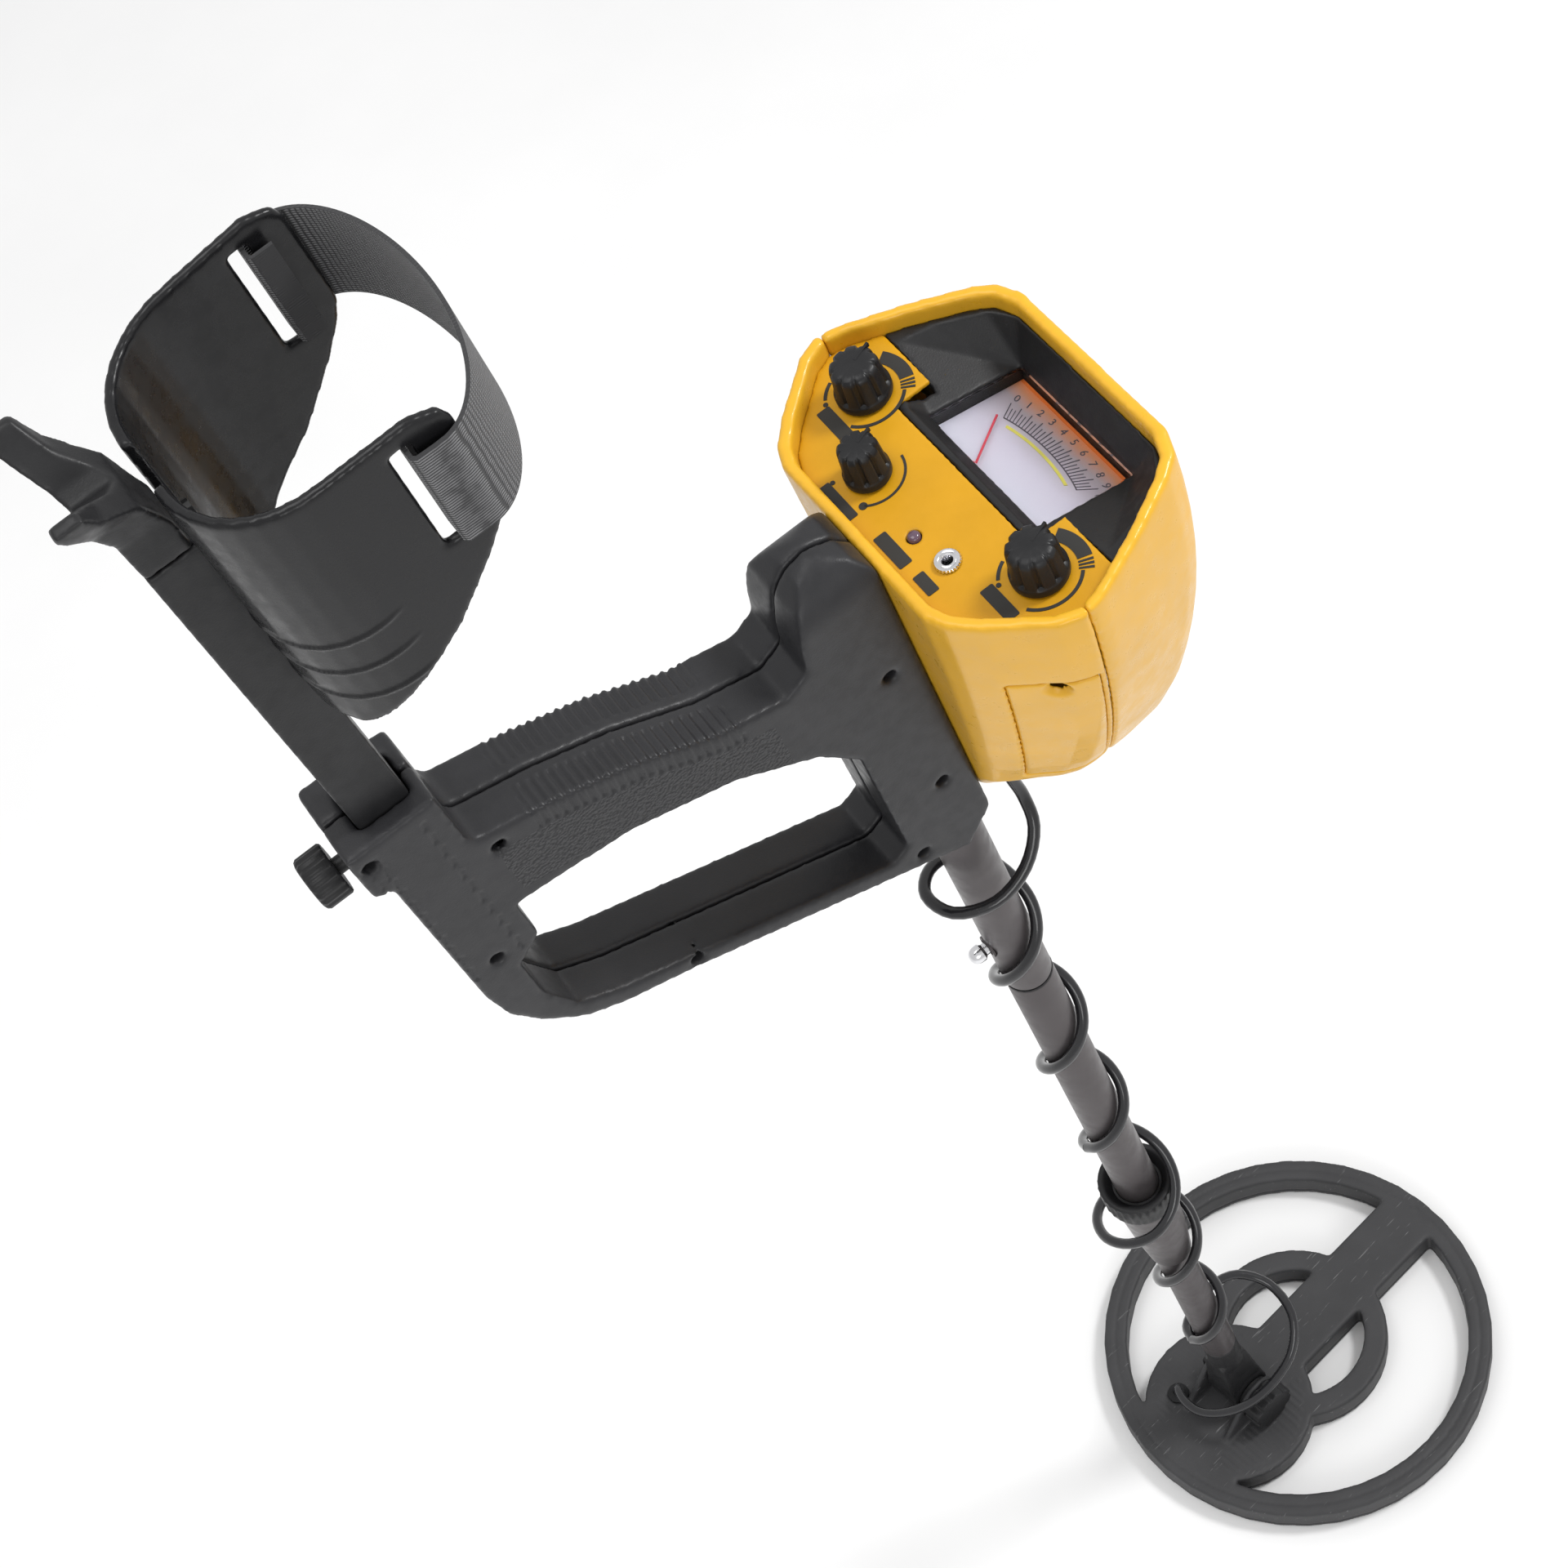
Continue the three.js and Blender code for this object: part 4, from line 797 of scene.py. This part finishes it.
def make_labels():
    """Blank label plates, dial arcs with their end dots, and ticks, printed on the control plate."""
    z = PANEL_Z - 0.05
    shapes = []
    for x, y in ((51, 50), (51, -50)):
        shapes.append(arc_strip(x, y, 14.8, 5.0, -20, 34, z))
        for k in range(3):
            shapes.append(arc_strip(x, y, 14.8, 5.0, -26.5 - k * 5.5, -23.5 - k * 5.5, z, 3))
        shapes.append(arc_strip(x, y, 13.6, 1.2, -146, -40, z))
        shapes.append(arc_strip(x, y, 13.8, 1.2, 116, 146, z))
        start = math.radians(154)
        shapes.append(dot(x + 13.8 * math.cos(start), y + 13.8 * math.sin(start), 0.9, z))
    shapes.append(arc_strip(33, 22, 12.4, 0.9, -132, -8, z))
    for angle, radius in ((-134, 1.5), (150, 0.9)):
        turned_to = math.radians(angle)
        shapes.append(dot(33 + 12.4 * math.cos(turned_to), 22 + 12.4 * math.sin(turned_to), radius, z))
    for x, y, length, width, angle in (
            (36.5, 46.5, 17, 5.2, 90), (18.8, 20.5, 18, 5.2, 90), (21.5, -8.2, 16, 5.0, 90),
            (22, -26.5, 9.5, 4.4, 90), (35, -49.5, 15.5, 5.0, 90)):
        shapes.append(plate(x, y, length, width, angle, z))
    solid("panel_print", *gathered(*shapes), HANDLE, "handle_frame", "black_plastic", "label_black", sharp=30)


# ---- meter ---------------------------------------------------------------------------------
def scale_point(angle, radius):
    """A place on the meter's flattened scale; degrees to the left of the middle line."""
    turn = math.radians(angle)
    return -27 + radius * (0.6 + 0.4 * math.cos(turn)), radius * math.sin(turn)


def scale_band(start, end, inner, outer, z, steps=40):
    angles = [start + (end - start) * i / steps for i in range(steps + 1)]
    edge = [scale_point(angle, outer) for angle in angles]
    edge += [scale_point(angle, inner) for angle in angles[::-1]]
    return slab(edge, z, z + 0.15)


def make_meter():
    z = -6.58
    ticks = []
    for i in range(31):
        angle = 38 - i * 76 / 30
        long = 6.4 if i % 3 == 0 else 4.6
        ticks.append(scale_band(angle - 0.26, angle + 0.26, 33.4, 33.4 + long, z, 1))
    ticks.append(scale_band(-38.2, 38.2, 33.2, 33.6, z))
    solid("scale_ticks", *gathered(*ticks), METER, "handle_frame", "white_card", "scale_grey", sharp=30)
    solid("scale_line", *scale_band(-33, 33, 30.4, 31.5, z), METER, "handle_frame", "white_card",
          "scale_yellow", sharp=30)
    # painted orange glow: an orange strip on the card's far edge stands in for the light on the meter case's
    # walls
    border = slab([(18.0, -31), (19.1, -31), (19.1, 31), (18.0, 31)], z, z + 0.2)
    solid("scale_glow", *border, METER, "handle_frame", "white_card", "warm_glow", sharp=30)
    for digit in range(10):
        angle = 36 - digit * 72 / 9
        data = bpy.data.curves.new(f"digit_{digit}", "FONT")
        data.body = str(digit)
        data.size = 4.2
        data.align_x = "CENTER"
        data.align_y = "CENTER"
        data.extrude = 0.06
        text = link(bpy.data.objects.new(f"scale_digit_{digit}", data))
        depsgraph = bpy.context.evaluated_depsgraph_get()
        mesh = bpy.data.meshes.new_from_object(text.evaluated_get(depsgraph))
        bpy.data.objects.remove(text)
        spot = Matrix.Translation((*scale_point(angle, 42.4), z + 0.1))
        mesh.transform(METER @ spot @ Matrix.Rotation(math.radians(angle * 0.7 - 90), 4, "Z"))
        number = link(bpy.data.objects.new(f"scale_digit_{digit}", mesh))
        finish_piece(number, "handle_frame", "scale_grey")


# ---- controls ------------------------------------------------------------------------------
def knob(name, node, body, x, y, radius):
    top = PANEL_Z + 17
    low = PANEL_Z + 1.2

    def fluted(angle, r, height):
        if r < radius * 0.6 or height < low + 3.2:
            return r
        scoop = max(0.0, math.cos(angle * 9)) ** 2
        return r - 1.0 * scoop

    body_shape = turned([(0.01, low), (radius, low), (radius, low + 2.4), (radius * 0.97, low + 3.0),
                         (radius * 0.93, low + 3.6), (radius * 0.86, top - 3.0), (radius * 0.82, top - 1.4),
                         (radius * 0.72, top - 0.4), (radius * 0.5, top - 0.1), (0.01, top - 0.1)],
                        144, fluted)
    spindle = turned([(0.01, PANEL_Z - 7), (2.5, PANEL_Z - 7), (2.5, low + 0.5), (0.01, low + 0.5)], 32)
    ridge = [(radius * 0.15, -0.5), (radius * 0.92, -0.5), (radius * 0.92, 0.5), (radius * 0.15, 0.5)]
    pointer = moved(slab(ridge, top - 1.6, top), Matrix.Rotation(math.radians(20), 4, "Z"))
    verts, faces = moved(gathered(body_shape, spindle, pointer), Matrix.Translation((x, y, 0)))
    solid(name, verts, faces, HANDLE, body, "black_plastic", "knob_black", (node,))


def make_controls():
    knob("disc_dial", "disc_knob", "disc_knob", 51, 50, 10)
    knob("volume_dial", "volume_knob", "volume_knob", 33, 22, 8.3)
    knob("power_dial", "power_knob", "power_knob", 51, -50, 10)
    lens = turned([(0.01, 803), (2.3, 803), (2.3, 809.3), (2.0, 809.9), (1.2, 810.3), (0.01, 810.4)], 32)
    verts, faces = moved(lens, Matrix.Translation((29.6, -8.9, 0)))
    solid("lamp_dome", verts, faces, HANDLE, "handle_frame", "lamp_lens", replaces=("battery_lamp",))

    def thread(angle, radius, height):
        return radius + (0.18 * math.sin(angle * 24) if 4.5 < radius < 4.7 else 0)

    socket = turned([(1.9, 798), (5, 798), (5, 806.6), (3.2, 806.7), (3.2, 809.3), (4.6, 809.3), (4.6, 810.1),
                     (4.3, 810.5), (3.5, 810.6), (3.0, 810.3), (2.6, 810.5), (2.1, 810.4), (1.9, 810.0),
                     (1.9, 798)],
                    96, thread)
    verts, faces = moved(socket, Matrix.Translation((32, -25, 0)))
    solid("jack_ring", verts, faces, HANDLE, "handle_frame", "chrome", replaces=("headphone_jack",))


def dress_remaining_nodes():
    """Every CAD node that still shows takes its slot's finish."""
    slots = {part["node"]: part["material_slot"] for part in frame["record"]["subparts"]}
    for name, obj in NODES.items():
        obj.material_slots[0].material = LOOKS[slots[name]]


make_camera()
LOOKS = make_materials()
make_studio()
dress_remaining_nodes()
make_cable()
make_shaft()
make_coil()
make_handle()
make_arm_rest()
make_housing()
make_labels()
make_meter()
make_controls()
